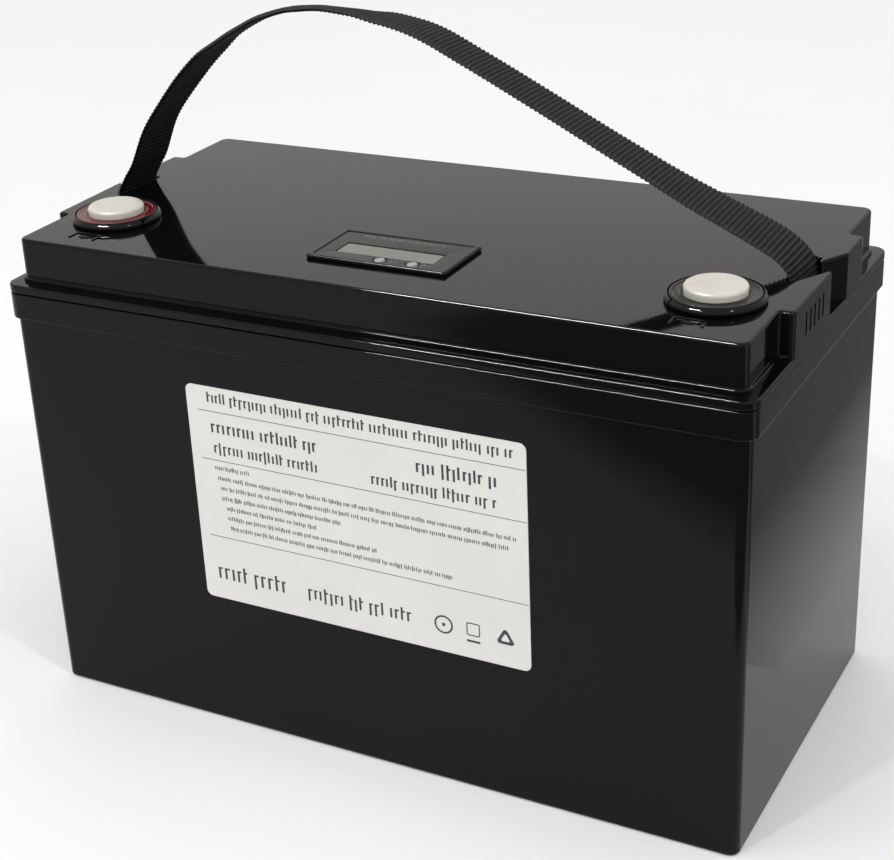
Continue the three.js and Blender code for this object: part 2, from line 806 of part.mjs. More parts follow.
/** The display's circuit board, with the display module and the two switches on it. */
function makeDisplayBoard() {
  const inset = bezelWall + gap;
  const board = plate(
    bezelInnerLength - 2 * inset, bezelInnerWidth - 2 * inset, 0.8,
    displayBoardTop - boardThickness, displayBoardTop,
  );
  const moduleTop = displayFace - windowRecess - windowThickness - gap;
  const module = block(
    [-windowLength / 2 + 1, windowY - windowWidth / 2 + 1, displayBoardTop - buried],
    [windowLength / 2 - 1, windowY + windowWidth / 2 - 1, moduleTop],
  );
  const plungerTop = buttonFlangeLow() - buttonTravel - gap;
  const switches = buttonXs.map((x) => block(
    [x - switchSide / 2, -buttonFront - switchSide / 2, displayBoardTop - buried],
    [x + switchSide / 2, -buttonFront + switchSide / 2, plungerTop],
  ));
  return join(board, module, ...switches);
}

function buttonFlangeLow() {
  return displayFace - faceThickness - gap - buttonFlangeThickness;
}

/** A push-button, held in by the flange under the display's face. */
function makeButton() {
  const low = buttonFlangeLow();
  const shoulder = low + buttonFlangeThickness;
  const top = displayFace + buttonRise;
  const stem = turned([
    [0, low], [buttonRadius, low], [buttonRadius, top - gap], [buttonRadius - gap, top], [0, top],
  ], 24);
  const half = buttonFlangeLength / 2;
  return join(stem, block([-half, -buttonRadius, low], [half, buttonRadius, shoulder]));
}

const display = placed(0, displayY);
add('display_bezel', makeBezel(), displayBlack, display);
add('display_window', makeWindow(), displayGrey, display);
add('display_board', makeDisplayBoard(), boardGreen, display);
buttonXs.forEach((x, i) => {
  const side = ['left', 'right'][i];
  add(`display_button_${side}`, makeButton().translate(x, -buttonFront, 0), buttonSilver, display);
});

// ---------------------------------------------------------------- cell pack

/** A prismatic cell: a rounded can with two posts and a vent on its top. */
function makeCell() {
  const can = plate(cellThickness, cellDepth, cellCornerRadius, cellBase, cellTop);
  const post = (y) => disc(cellPostRadius, cellTop - buried, cellTop + cellPostHeight, 16).translate(0, y, 0);
  const vent = disc(ventRadius, cellTop - buried, cellTop + ventHeight, 12);
  return join(can, post(-cellPostY), post(cellPostY), vent);
}

function cellX(i) {
  return blockLeft + cellThickness / 2 + i * cellPitch;
}

/** A busbar between two neighbouring cells' posts, with the nuts that hold it. */
function makeBusbar(i) {
  const [x0, x1] = [cellX(i), cellX(i + 1)];
  const middle = (x0 + x1) / 2;
  const half = cellPitch / 2 + cellPostRadius;
  const high = busbarZ + busbarThickness;
  const hump = busbarHumpWidth / 2;
  const bar = (from, to, top) => block([from, -busbarWidth / 2, busbarZ], [to, busbarWidth / 2, top]);
  const flat = join(
    bar(middle - half, middle - hump, high),
    bar(middle + hump, middle + half, high),
    bar(middle - hump - busbarThickness, middle + hump + busbarThickness, high + busbarHump),
  );
  const under = block(
    [middle - hump, -busbarWidth, busbarZ - overrun], [middle + hump, busbarWidth, busbarZ + busbarHump],
  );
  const nut = (x) => disc(busbarNutRadius, high - buried, high + busbarNutHeight, 6).translate(x, 0, 0);
  return join(cut(flat, under), nut(x0), nut(x1));
}

/** The plate on an end cell's post that an output cable is fastened to. */
function makeOutputPlate() {
  const half = busbarWidth / 2;
  const high = busbarZ + busbarThickness;
  return join(
    block([-half, -half, busbarZ], [half, half, high]),
    disc(busbarNutRadius, high - buried, high + busbarNutHeight, 6),
  );
}

/** A retaining band round the cells. */
function makeBand(z) {
  const length = blockRight - blockLeft + 2 * gap;
  const width = cellDepth + 2 * gap;
  const thick = 2 * bandStrapThickness;
  const low = z - bandStrapWidth / 2;
  const high = z + bandStrapWidth / 2;
  const outer = plate(length + thick, width + thick, cellCornerRadius + bandStrapThickness, low, high);
  const inner = plate(length, width, cellCornerRadius, low - overrun, high + overrun);
  return cut(outer, inner).translate((blockLeft + blockRight) / 2, 0, 0);
}

for (let i = 0; i < cellCount; i += 1) {
  add(`cell_${i + 1}`, makeCell(), cellBlue, placed(cellX(i), 0));
}
for (let i = 0; i < cellCount - 1; i += 1) {
  const low = cellX(i) + cellThickness / 2 + gap;
  add(`cell_separator_${i + 1}`, block(
    [low, -cellDepth / 2, cellBase], [low + separatorThickness, cellDepth / 2, cellTop],
  ), separatorAmber);
  add(`busbar_${i + 1}`, makeBusbar(i), nickel, placed(0, i % 2 === 0 ? cellPostY : -cellPostY));
}
add('output_plate_positive', makeOutputPlate(), copper, placed(cellX(0), -cellPostY));
add('output_plate_negative', makeOutputPlate(), copper, placed(cellX(cellCount - 1), -cellPostY));

function endPad(x) {
  return block([x, -cellDepth / 2, cellBase], [x + endPadThickness, cellDepth / 2, cellTop]);
}

add('end_pad_left', endPad(-innerLength / 2 + gap), foamGrey);
add('end_pad_right', endPad(blockRight + bandRoom), foamGrey);
add('bottom_pad', plate(
  innerLength - 2 * gap, innerWidth - 2 * gap, caseInnerRadius / 2, caseFloor + gap, padTop,
), foamGrey);

const packMiddle = (cellBase + cellTop) / 2;
add('retaining_band_lower', makeBand(packMiddle - bandSpacing / 2), bandSteel);
add('retaining_band_upper', makeBand(packMiddle + bandSpacing / 2), bandSteel);

// ---------------------------------------------------------------- protection board

const controlWidth = cellDepth - 2 * controlSideInset;
const controlTop = cellTop + controlRise;
const controlBase = controlTop - controlHeight;

/** A board that stands in the YZ plane, from x outwards. */
function standing(x, thickness, sideInset = 0, endInset = 0) {
  const y = controlWidth / 2 - sideInset;
  return block([x, -y, controlBase + endInset], [x + thickness, y, controlTop - endInset]);
}

/** The aluminium plate with upright fins that cools the protection board. */
function makeHeatSink() {
  const base = standing(sinkX, sinkBase, sinkEdgeInset, sinkEdgeInset);
  const low = controlBase + sinkEdgeInset;
  const high = controlTop - sinkEdgeInset;
  const span = controlWidth - 2 * sinkEdgeInset - sinkFinThickness;
  const fins = Array.from({ length: sinkFins }, (_, i) => {
    const y = -span / 2 + (span * i) / (sinkFins - 1);
    return block(
      [sinkX + sinkBase - buried, y - sinkFinThickness / 2, low],
      [sinkX + sinkBase + sinkFinHeight, y + sinkFinThickness / 2, high],
    );
  });
  return join(base, ...fins);
}

const foamEnd = innerLength / 2 - gap;
add('insulating_sheet', standing(sheetX, boardSheetThickness, -controlSideInset / 2), separatorAmber);
add('protection_board', standing(boardX, controlBoardThickness), boardGreen);
add('heat_sink', makeHeatSink(), aluminium);
add('bay_foam', block(
  [foamEnd - bayFoamThickness, -cellDepth / 2, cellBase], [foamEnd, cellDepth / 2, controlTop],
), foamGrey);

// ---------------------------------------------------------------- wiring

const plateTop = busbarZ + busbarThickness + busbarNutHeight + gap;
const cableLift = 9; // height of a cable over the cells where it runs level
const runZ = cellTop + cableLift;
const crimpMouth = crimpY + gap;
const padX = boardX + controlBoardThickness / 2;
const linkPadY = -controlWidth / 2 + 10; // where each cable meets the protection board
const harnessPadY = ventRadius + harnessClear;
const outputPadY = harnessPadY - padSpacing;

/** From the positive lug back over the first cell, and down to its output plate. */
function positiveCable() {
  const x = -terminalX;
  return tube([
    [x, crimpMouth - crimpLength + 2 * overrun, crimpZ],
    [x, crimpMouth + 4, crimpZ],
    [x + 3, crimpMouth + 16, crimpZ - 2],
    [cellX(0) + 12, crimpMouth + 20, plateTop + cableRadius + 2],
    [cellX(0) + 19, crimpMouth + 8, plateTop + cableRadius],
    [cellX(0) + 16, -cellPostY + 12, plateTop + cableRadius],
    [cellX(0) + 6, -cellPostY + 2, plateTop + cableRadius],
  ], cableRadius, cableSides, cableSteps);
}

/** From the negative lug back, across the bay and down to the protection board's output pad. */
function negativeCable() {
  const x = terminalX;
  return tube([
    [x, crimpMouth - crimpLength + 2 * overrun, crimpZ],
    [x, crimpMouth + 4, crimpZ],
    [x - 6, crimpMouth + 16, crimpZ - 1],
    [x - 24, crimpMouth + 20, runZ + 2],
    [padX + 12, outputPadY + 4, runZ + 3],
    [padX, outputPadY, controlTop + 10],
    [padX, outputPadY, controlTop + 1],
  ], cableRadius, cableSides, cableSteps);
}

/** From the last cell's output plate to the protection board. */
function linkCable() {
  const x = cellX(cellCount - 1);
  const y = -cellPostY;
  return tube([
    [x + 2, y, plateTop + cableRadius],
    [x + 14, y - 3, plateTop + cableRadius],
    [padX - 10, linkPadY + 3, plateTop + 1],
    [padX, linkPadY, controlTop + 14],
    [padX, linkPadY, controlTop + 1],
  ], cableRadius, cableSides, cableSteps);
}

/** The thin sensing leads, bundled, along the middle of the cells and down to the board. */
function balanceHarness() {
  const z = cellTop + ventHeight + gap + harnessRadius;
  return tube([
    [cellX(0) - 10, harnessPadY, z], [cellX(1), harnessPadY + 1, z], [cellX(2), harnessPadY, z],
    [cellX(3), harnessPadY + 1, z + 1], [blockRight - 4, harnessPadY, z + 5],
    [padX - 1, harnessPadY, controlTop + 8], [padX, harnessPadY, controlTop + 1],
  ], harnessRadius, 6, 24);
}

/** The flat cable from the display to the protection board. */
function displayRibbon() {
  const start = displayBoardTop - boardThickness - gap;
  const along = (share) => ribbonStartX + (padX - ribbonStartX) * share;
  const line = new THREE.CatmullRomCurve3([
    [ribbonStartX, start], [ribbonStartX + 0.5, start - 5], [along(0.12), start - 11],
    [along(0.37), runZ + 4], [along(0.7), runZ + 3], [along(0.89), runZ + 1],
    [padX, controlTop + 12], [padX, controlTop + 1],
  ].map(([x, z]) => new THREE.Vector3(x, 0, z)), false, 'centripetal');
  const points = line.getSpacedPoints(24).map((p) => [p.x, p.z]);
  return ribbon(points, ribbonThickness, ribbonWidth).translate(0, displayY + ribbonBack, 0);
}

add('cable_positive', positiveCable(), cableRed);
add('cable_negative', negativeCable(), cableBlack);
add('cable_link', linkCable(), cableBlack);
add('balance_harness', balanceHarness(), ribbonGrey);
add('display_ribbon', displayRibbon(), ribbonGrey);
add('temperature_sensor', barAlongY(sensorRadius, sensorLength)
  .translate(cellX(2) + 2 * ventRadius, 0, cellTop + gap + sensorRadius), sealRubber);

export default battery;
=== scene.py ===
"""The looks of the deep cycle battery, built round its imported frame. Metres, +Z up."""
import json
import math
import random

import bmesh
import bpy
from mathutils import Matrix, Vector
from mathutils.noise import noise as perlin

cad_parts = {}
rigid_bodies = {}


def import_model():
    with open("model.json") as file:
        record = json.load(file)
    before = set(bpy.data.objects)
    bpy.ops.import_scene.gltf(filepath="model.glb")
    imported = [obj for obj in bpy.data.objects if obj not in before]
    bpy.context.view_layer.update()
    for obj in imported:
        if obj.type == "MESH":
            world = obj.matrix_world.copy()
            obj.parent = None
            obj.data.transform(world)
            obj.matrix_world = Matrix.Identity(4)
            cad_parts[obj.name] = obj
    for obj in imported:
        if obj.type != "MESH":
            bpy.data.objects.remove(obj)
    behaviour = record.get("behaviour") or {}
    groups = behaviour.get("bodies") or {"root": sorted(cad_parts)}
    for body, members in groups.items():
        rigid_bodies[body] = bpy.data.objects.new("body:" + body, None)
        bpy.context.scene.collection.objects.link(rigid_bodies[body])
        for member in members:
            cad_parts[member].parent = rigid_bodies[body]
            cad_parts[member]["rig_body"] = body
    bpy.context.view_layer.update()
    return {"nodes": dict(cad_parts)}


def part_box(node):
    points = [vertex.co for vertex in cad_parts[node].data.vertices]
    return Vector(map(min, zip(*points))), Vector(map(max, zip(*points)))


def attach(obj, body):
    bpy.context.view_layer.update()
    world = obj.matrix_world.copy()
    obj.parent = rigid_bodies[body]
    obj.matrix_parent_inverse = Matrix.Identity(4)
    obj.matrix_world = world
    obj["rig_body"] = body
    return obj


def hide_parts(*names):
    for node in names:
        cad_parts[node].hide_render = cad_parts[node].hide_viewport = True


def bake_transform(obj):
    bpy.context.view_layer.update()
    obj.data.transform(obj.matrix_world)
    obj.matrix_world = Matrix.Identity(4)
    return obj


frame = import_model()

MM = 0.001

# ---------------------------------------------------------------- camera, light and floor

AZIMUTH = math.radians(29.65)  # from the front, towards the negative terminal
ELEVATION = math.radians(25.01)
ROLL = math.radians(-3.14)
DISTANCE = 0.81426
TARGET = Vector((-0.02174, 0, 0.11563))
LENS = 73.99
SHIFT = (0.0459, -0.0009)


def make_camera():
    data = bpy.data.cameras.new("camera")
    data.sensor_width = 36
    data.lens = LENS
    data.shift_x, data.shift_y = SHIFT
    camera = bpy.data.objects.new("camera", data)
    bpy.context.scene.collection.objects.link(camera)
    forward = direction(AZIMUTH, ELEVATION) * -1
    right = Vector((math.cos(AZIMUTH), math.sin(AZIMUTH), 0))
    up = right.cross(forward)
    right, up = right * math.cos(ROLL) + up * math.sin(ROLL), up * math.cos(ROLL) - right * math.sin(ROLL)
    turn = Matrix((right, up, -forward)).transposed().to_4x4()
    camera.matrix_world = Matrix.Translation(TARGET - forward * DISTANCE) @ turn
    bpy.context.scene.camera = camera


def direction(azimuth, elevation):
    """The way from the object to something at that azimuth, from the front, and elevation."""
    level = math.cos(elevation)
    return Vector((math.sin(azimuth) * level, -math.cos(azimuth) * level, math.sin(elevation)))


def make_lamp(name, place, target, size, power, shape="DISK"):
    data = bpy.data.lights.new(name, "AREA")
    data.shape = shape
    data.size = size[0]
    data.size_y = size[1]
    data.energy = power
    lamp = bpy.data.objects.new(name, data)
    bpy.context.scene.collection.objects.link(lamp)
    lamp.location = place
    lamp.rotation_euler = (target - place).to_track_quat("-Z", "Y").to_euler()
    return lamp


def make_lights():
    middle = Vector((0, 0, 0.2))
    for name, azimuth, elevation in (("lamp_left", -13, 48), ("lamp_right", 66, 48)):
        place = middle + direction(math.radians(azimuth), math.radians(elevation)) * 1.5
        make_lamp(name, place, middle, (0.08, 0.08), 3)
    strip = make_lamp(
        "strip", Vector((-0.38, -0.52, 1.22)), Vector((-0.28, -0.08, 0.2)), (0.4, 0.08), 50, "RECTANGLE",
    )
    strip.visible_diffuse = False  # only for the thin lines of light along the rounded edges


def make_world():
    """A soft pale surround, a little brighter at mid height than overhead."""
    world = bpy.data.worlds.new("studio")
    world.use_nodes = True
    bpy.context.scene.world = world
    tree = world.node_tree
    background = tree.nodes["Background"]
    place = tree.nodes.new("ShaderNodeTexCoord")
    split = tree.nodes.new("ShaderNodeSeparateXYZ")
    ramp = tree.nodes.new("ShaderNodeValToRGB")
    tree.links.new(place.outputs["Generated"], split.inputs[0])
    tree.links.new(split.outputs["Z"], ramp.inputs["Fac"])
    tree.links.new(ramp.outputs["Color"], background.inputs["Color"])
    stops = [(0.0, 0.35), (0.22, 0.6), (0.42, 0.7), (0.6, 0.7), (1.0, 0.6)]
    set_ramp(ramp, [(at, (v, v * 0.985, v * 0.95)) for at, v in stops])
    background.inputs["Strength"].default_value = 1.55


def make_floor():
    size = 8
    bpy.ops.mesh.primitive_plane_add(size=size)
    floor = bpy.context.object
    floor.name = "floor"
    look = Look("floor_paper", (0.86, 0.865, 0.88), 0.85)
    look.vary(look.noise(2.5, 3), (0.85, 0.86, 0.885), (0.87, 0.88, 0.905))
    floor.data.materials.append(look.material)


def make_dark_card(name, centre, size, turn, fade):
    """A dark card laid on the floor, for the glossy walls to reflect. It fades in from two edges.

    The camera, diffuse surfaces and shadows don't see it.
    """
    bpy.ops.mesh.primitive_plane_add(size=1, location=(*centre, 0.001), rotation=(0, 0, math.radians(turn)))
    card = bpy.context.object
    card.name = name
    card.scale = (*size, 1)
    look = Look(f"{name}_cloth", (0.12, 0.12, 0.125), 0.9)
    split = look.add("ShaderNodeSeparateXYZ")
    look.join(look.place, split.inputs[0])
    from_left = look.math("MULTIPLY", look.math("ADD", split.outputs["X"], 0.5), size[0])
    from_top = look.math("MULTIPLY", look.math("SUBTRACT", 0.5, split.outputs["Y"]), size[1])
    reach = look.math("MINIMUM", from_left, from_top)
    reach = look.math("ADD", reach, look.math("MULTIPLY", look.noise(5, 3), 0.03))
    look.join(look.ramp(look.math("DIVIDE", reach, fade), [(0.2, 0), (1, 0.95)]), look.shader.inputs["Alpha"])
    card.data.materials.append(look.material)
    card.visible_camera = card.visible_diffuse = card.visible_shadow = False


def make_dark_cards():
    make_dark_card("end_card", (0.745, 0.925), (1.11, 1.75), 0, 0.07)
    make_dark_card("front_card", (0.3, -0.52), (0.9, 0.6), 35, 0.05)


# ---------------------------------------------------------------- materials


def set_ramp(ramp, stops):
    """Stops are (position, rgb or grey)."""
    elements = ramp.color_ramp.elements
    while len(elements) < len(stops):
        elements.new(1)
    for element, (at, value) in zip(elements, stops):
        element.position = at
        rgb = (value,) * 3 if isinstance(value, (int, float)) else value
        element.color = (*rgb, 1)


class Look:
    """A node material under construction, on object coordinates, so that it keeps its real scale."""

    def __init__(self, name, color, roughness, metallic=0.0, **constants):
        self.material = bpy.data.materials.new(name)
        self.material.use_nodes = True
        self.tree = self.material.node_tree
        self.shader = self.tree.nodes["Principled BSDF"]
        self.shader.inputs["Base Color"].default_value = (*color, 1)
        self.shader.inputs["Roughness"].default_value = roughness
        self.shader.inputs["Metallic"].default_value = metallic
        for socket, value in constants.items():
            self.shader.inputs[socket.replace("_", " ")].default_value = value
        self.place = self.add("ShaderNodeTexCoord").outputs["Object"]
        self.normal = None

    def add(self, kind, **settings):
        node = self.tree.nodes.new(kind)
        for key, value in settings.items():
            setattr(node, key, value)
        return node

    def join(self, output, socket):
        self.tree.links.new(output, socket)

    def scaled(self, scale):
        """The place, stretched: a larger number makes the pattern finer along that axis."""
        node = self.add("ShaderNodeMapping")
        node.inputs["Scale"].default_value = scale
        self.join(self.place, node.inputs["Vector"])
        return node.outputs[0]

    def noise(self, scale, detail=2, roughness=0.5, stretch=None):
        node = self.add("ShaderNodeTexNoise")
        node.inputs["Scale"].default_value = scale
        node.inputs["Detail"].default_value = detail
        node.inputs["Roughness"].default_value = roughness
        self.join(self.scaled(stretch) if stretch else self.place, node.inputs["Vector"])
        return node.outputs["Fac"]

    def specks(self, scale, size):
        """1 on small round specks, and 0 between them."""
        node = self.add("ShaderNodeTexVoronoi")
        node.inputs["Scale"].default_value = scale
        self.join(self.place, node.inputs["Vector"])
        return self.ramp(node.outputs["Distance"], [(size * 0.5, 1), (size, 0)])

    def wave(self, scale, axis):
        node = self.add("ShaderNodeTexWave", bands_direction=axis)
        node.inputs["Scale"].default_value = scale
        self.join(self.place, node.inputs["Vector"])
        return node.outputs["Fac"]

    def ramp(self, value, stops):
        node = self.add("ShaderNodeValToRGB")
        set_ramp(node, stops)
        self.join(value, node.inputs["Fac"])
        return node.outputs["Color"]

    def mix(self, factor, first, second):
        """Colours are outputs or rgb."""
        node = self.add("ShaderNodeMix", data_type="RGBA")
        for socket, value in (("Factor", factor), ("A", first), ("B", second)):
            target = next(s for s in node.inputs if s.name == socket and s.enabled)
            if isinstance(value, bpy.types.NodeSocket):
                self.join(value, target)
            elif isinstance(value, (int, float)):
                target.default_value = value
            else:
                target.default_value = (*value, 1)
        return next(s for s in node.outputs if s.enabled)

    def math(self, operation, first, second):
        node = self.add("ShaderNodeMath", operation=operation)
        for socket, value in zip(node.inputs, (first, second)):
            if isinstance(value, bpy.types.NodeSocket):
                self.join(value, socket)
            else:
                socket.default_value = value
        return node.outputs[0]

    def color(self, output):
        self.join(output, self.shader.inputs["Base Color"])

    def vary(self, value, low, high):
        """The colour runs from low to high with the value."""
        self.color(self.ramp(value, [(0.3, low), (0.7, high)]))

    def rough(self, value, low, high):
        self.join(self.ramp(value, [(0.25, low), (0.75, high)]), self.shader.inputs["Roughness"])

    def bump(self, height, depth):
        """A relief of that depth in metres. Later ones lie on top of earlier ones."""
        node = self.add("ShaderNodeBump")
        node.inputs["Strength"].default_value = 1
        node.inputs["Distance"].default_value = depth
        self.join(height, node.inputs["Height"])
        if self.normal:
            self.join(self.normal, node.inputs["Normal"])
        self.normal = node.outputs["Normal"]
        self.join(self.normal, self.shader.inputs["Normal"])


def glossy_plastic(name, color, gloss, ior, wave_depth, dust):
    """Polished moulded plastic: faint waves in the wall, smudges, hairlines and a few specks of dust."""
    look = Look(name, color, gloss, IOR=ior)
    clean = tuple(c * 0.9 for c in color)
    dusty = tuple(c + dust for c in color)
    base = look.ramp(look.noise(9, 3), [(0.35, clean), (0.7, tuple(c * 1.25 for c in color))])
    patches = look.ramp(look.noise(26, 4), [(0.52, 0), (0.66, 1)])
    specks = look.math("MULTIPLY", look.specks(330, 0.12), patches)
    look.color(look.mix(specks, base, dusty))
    smudge = look.math("ADD", look.noise(14, 5, 0.62), look.math("MULTIPLY", specks, 0.5))
    look.rough(smudge, gloss * 0.6, gloss * 1.9)
    look.bump(look.noise(11, 1), wave_depth)
    look.bump(look.noise(900, 2), 0.0000015)
    look.bump(look.noise(60, 3, 0.5, (1, 1, 14)), 0.000003)
    return look.material


def moulded_plastic(name, color, roughness, grain=0.00002, **constants):
    """Plain moulded plastic with a fine spark-eroded grain."""
    look = Look(name, color, roughness, **constants)
    look.vary(look.noise(40, 4), tuple(c * 0.88 for c in color), tuple(min(1, c * 1.07) for c in color))
    look.rough(look.noise(70, 3), roughness * 0.8, min(1, roughness * 1.2))
    look.bump(look.noise(2600, 3), grain)
    return look.material


def brushed_metal(name, color, roughness, stretch, tarnish):
    look = Look(name, color, roughness, metallic=1.0)
    lines = look.noise(500, 3, 0.6, stretch)
    blotch = look.noise(60, 4)
    base = look.ramp(lines, [(0.3, tuple(c * 0.86 for c in color)), (0.7, color)])
    look.color(look.mix(look.ramp(blotch, [(0.5, 0), (0.75, 0.6)]), base, tarnish))
    look.rough(blotch, roughness * 0.75, roughness * 1.35)
    look.bump(lines, 0.000012)
    return look.material


def printed_paper():
    look = Look("label_paper", (0.7, 0.69, 0.67), 0.42)
    look.vary(look.noise(18, 4), (0.68, 0.67, 0.65), (0.72, 0.71, 0.69))
    look.rough(look.noise(90, 3), 0.36, 0.5)
    look.bump(look.noise(1500, 4), 0.000006)
    return look.material


def printed_ink(name, color, darkest, palest):
    look = Look(name, color, 0.5)
    look.vary(look.noise(900, 2), darkest, palest)
    look.bump(look.noise(1500, 4), 0.000004)
    return look.material


def webbing():
    """Polypropylene webbing. The ribs are in the mesh; this adds the yarns' twist and the fibres, and paints
    shade into the grooves between the ribs and light onto their crests.
    """
    look = Look("webbing_black", (0.006, 0.0058, 0.006), 0.7, IOR=1.25)
    look.place = look.add("ShaderNodeUVMap", uv_map="weave").outputs[0]
    yarns = look.noise(1.0, 3, 0.6, (2600, 420, 1))
    painted_lit_crests = look.ramp(yarns, [(0.3, (0.0045, 0.0043, 0.0045)), (0.7, (0.013, 0.0122, 0.0126))])
    # Painted shade and highlight: the grooves between the ribs are painted near black and the crests take the
    # lighter yarn tone.
    look.color(look.mix(look.ramp(rib_height(look), [(0.1, 0), (0.8, 1)]), (0.0012, 0.0012, 0.0012), painted_lit_crests))
    look.rough(look.noise(1.0, 3, 0.5, (500, 500, 1)), 0.5, 0.75)
    slant = look.math("ADD", weave_phase(look, "X", YARN_LENGTH), weave_phase(look, "Y", YARN_WIDTH))
    twill = look.math("SINE", slant, 0)
    look.bump(twill, 0.00008)
    look.bump(look.noise(1.0, 4, 0.7, (5200, 1500, 1)), 0.00005)
    return look.material


def rib_height(look):
    """1 on the ribs' crests and down to -1 in the grooves between them."""
    return look.math("SINE", weave_phase(look, "X", RIB_PITCH), 0)


def weave_phase(look, axis, pitch):
    """The phase, in radians, of what repeats every pitch along the strap (X) or across it (Y)."""
    split = look.add("ShaderNodeSeparateXYZ")
    look.join(look.place, split.inputs[0])
    return look.math("MULTIPLY", split.outputs[axis], 2 * math.pi / (pitch * MM))


def liquid_crystal():
    """The display's clear front over its pale unlit crystal, with the faint grid of its dots."""
    look = Look("display_window", (0.16, 0.158, 0.14), 0.14, IOR=1.3)
    base = look.ramp(look.noise(30, 3), [(0.35, (0.15, 0.148, 0.13)), (0.7, (0.185, 0.182, 0.165))])
    grid = look.math("MULTIPLY", look.wave(400, "X"), look.wave(400, "Y"))
    look.color(look.mix(look.ramp(grid, [(0.4, 0), (0.8, 0.35)]), base, (0.125, 0.124, 0.108)))
    look.rough(look.noise(50, 3), 0.08, 0.18)
    look.bump(look.noise(20, 2), 0.00002)
    return look.material


def translucent_white():
    look = Look(
        "cap_white", (0.52, 0.505, 0.47), 0.36,
        Subsurface_Weight=0.25, Subsurface_Radius=(0.003, 0.0025, 0.002), Subsurface_Scale=0.6,
    )
    look.vary(look.noise(120, 4), (0.54, 0.52, 0.48), (0.6, 0.58, 0.54))
    look.rough(look.noise(160, 4), 0.28, 0.5)
    look.bump(look.noise(90, 3), 0.00006)
    look.bump(look.noise(1800, 3), 0.00001)
    return look.material


def cell_wrap():
    look = Look("cell_wrap", (0.03, 0.11, 0.32), 0.28, Coat_Weight=0.3)
    look.vary(look.noise(12, 4), (0.022, 0.085, 0.27), (0.038, 0.13, 0.36))
    look.rough(look.noise(25, 4), 0.2, 0.42)
    look.bump(look.noise(22, 4, 0.6, (1, 1, 0.4)), 0.0004)
    look.bump(look.noise(160, 2, 0.5, (1, 1, 0.2)), 0.00004)
    return look.material


def circuit_board():
    look = Look("circuit_board", (0.012, 0.085, 0.03), 0.3)
    tracks = look.add("ShaderNodeTexBrick", offset=0.3, squash=2.0)
    tracks.inputs["Scale"].default_value = 120
    tracks.inputs["Mortar Size"].default_value = 0.03
    tracks.inputs["Color1"].default_value = (0.01, 0.07, 0.025, 1)
    tracks.inputs["Color2"].default_value = (0.014, 0.095, 0.034, 1)
    tracks.inputs["Mortar"].default_value = (0.03, 0.17, 0.06, 1)
    look.join(look.place, tracks.inputs["Vector"])
    look.color(look.mix(look.specks(260, 0.18), tracks.outputs["Color"], (0.55, 0.53, 0.45)))
    look.rough(look.noise(80, 2), 0.22, 0.4)
    look.bump(tracks.outputs["Fac"], 0.00003)
    return look.material


def woven_sheet():
    look = Look("epoxy_sheet", (0.34, 0.2, 0.06), 0.45)
    weave = look.math("MULTIPLY", look.wave(380, "Y"), look.wave(380, "Z"))
    look.vary(weave, (0.3, 0.17, 0.045), (0.42, 0.27, 0.1))
    look.rough(look.noise(60, 3), 0.35, 0.6)
    look.bump(weave, 0.00005)
    return look.material


def foam():
    look = Look("foam_grey", (0.045, 0.047, 0.05), 0.95)
    cells = look.add("ShaderNodeTexVoronoi")
    cells.inputs["Scale"].default_value = 900
    look.join(look.place, cells.inputs["Vector"])
    look.vary(cells.outputs["Distance"], (0.02, 0.021, 0.023), (0.075, 0.078, 0.083))
    look.rough(look.noise(200, 2), 0.88, 1.0)
    look.bump(cells.outputs["Distance"], 0.0005)
    return look.material


def cable_sheath(name, color):
    look = Look(name, color, 0.5)
    look.vary(look.noise(60, 4), tuple(c * 0.85 for c in color), tuple(min(1, c * 1.12) for c in color))
    look.rough(look.noise(130, 3), 0.4, 0.62)
    look.bump(look.noise(1400, 3), 0.00004)
    return look.material


def flat_ribbon():
    look = Look("ribbon_grey", (0.46, 0.455, 0.43), 0.5)
    strands = look.wave(250, "Y")
    look.vary(strands, (0.36, 0.355, 0.33), (0.52, 0.515, 0.49))
    look.rough(look.noise(90, 2), 0.4, 0.6)
    look.bump(strands, 0.0002)
    return look.material


GLOSSY = {  # colour, roughness, IOR, depth of the waves, dust
    "case_black": ((0.0025, 0.0025, 0.0032), 0.045, 1.25, 0.00006, 0.015),
    "collar_black": ((0.003, 0.003, 0.0032), 0.08, 1.27, 0.00001, 0.01),
    "ring_red": ((0.1, 0.005, 0.008), 0.16, 1.4, 0.00001, 0.03),
    "ring_black": ((0.008, 0.007, 0.0065), 0.2, 1.32, 0.00001, 0.01),
    "display_black": ((0.006, 0.006, 0.0058), 0.16, 1.24, 0.00001, 0.01),
}
METALS = {  # colour, roughness, stretch of the brushing, tarnish
    "band_steel": ((0.56, 0.57, 0.58), 0.34, (1, 1, 30), (0.4, 0.41, 0.42)),
    "copper_bare": ((0.72, 0.4, 0.26), 0.32, (1, 20, 1), (0.4, 0.2, 0.12)),
    "nickel_plate": ((0.66, 0.64, 0.59), 0.24, (8, 8, 1), (0.5, 0.48, 0.43)),
    "zinc_plate": ((0.6, 0.61, 0.62), 0.36, (10, 10, 1), (0.46, 0.46, 0.45)),
    "aluminium_bare": ((0.62, 0.64, 0.66), 0.4, (1, 1, 30), (0.5, 0.51, 0.52)),
}


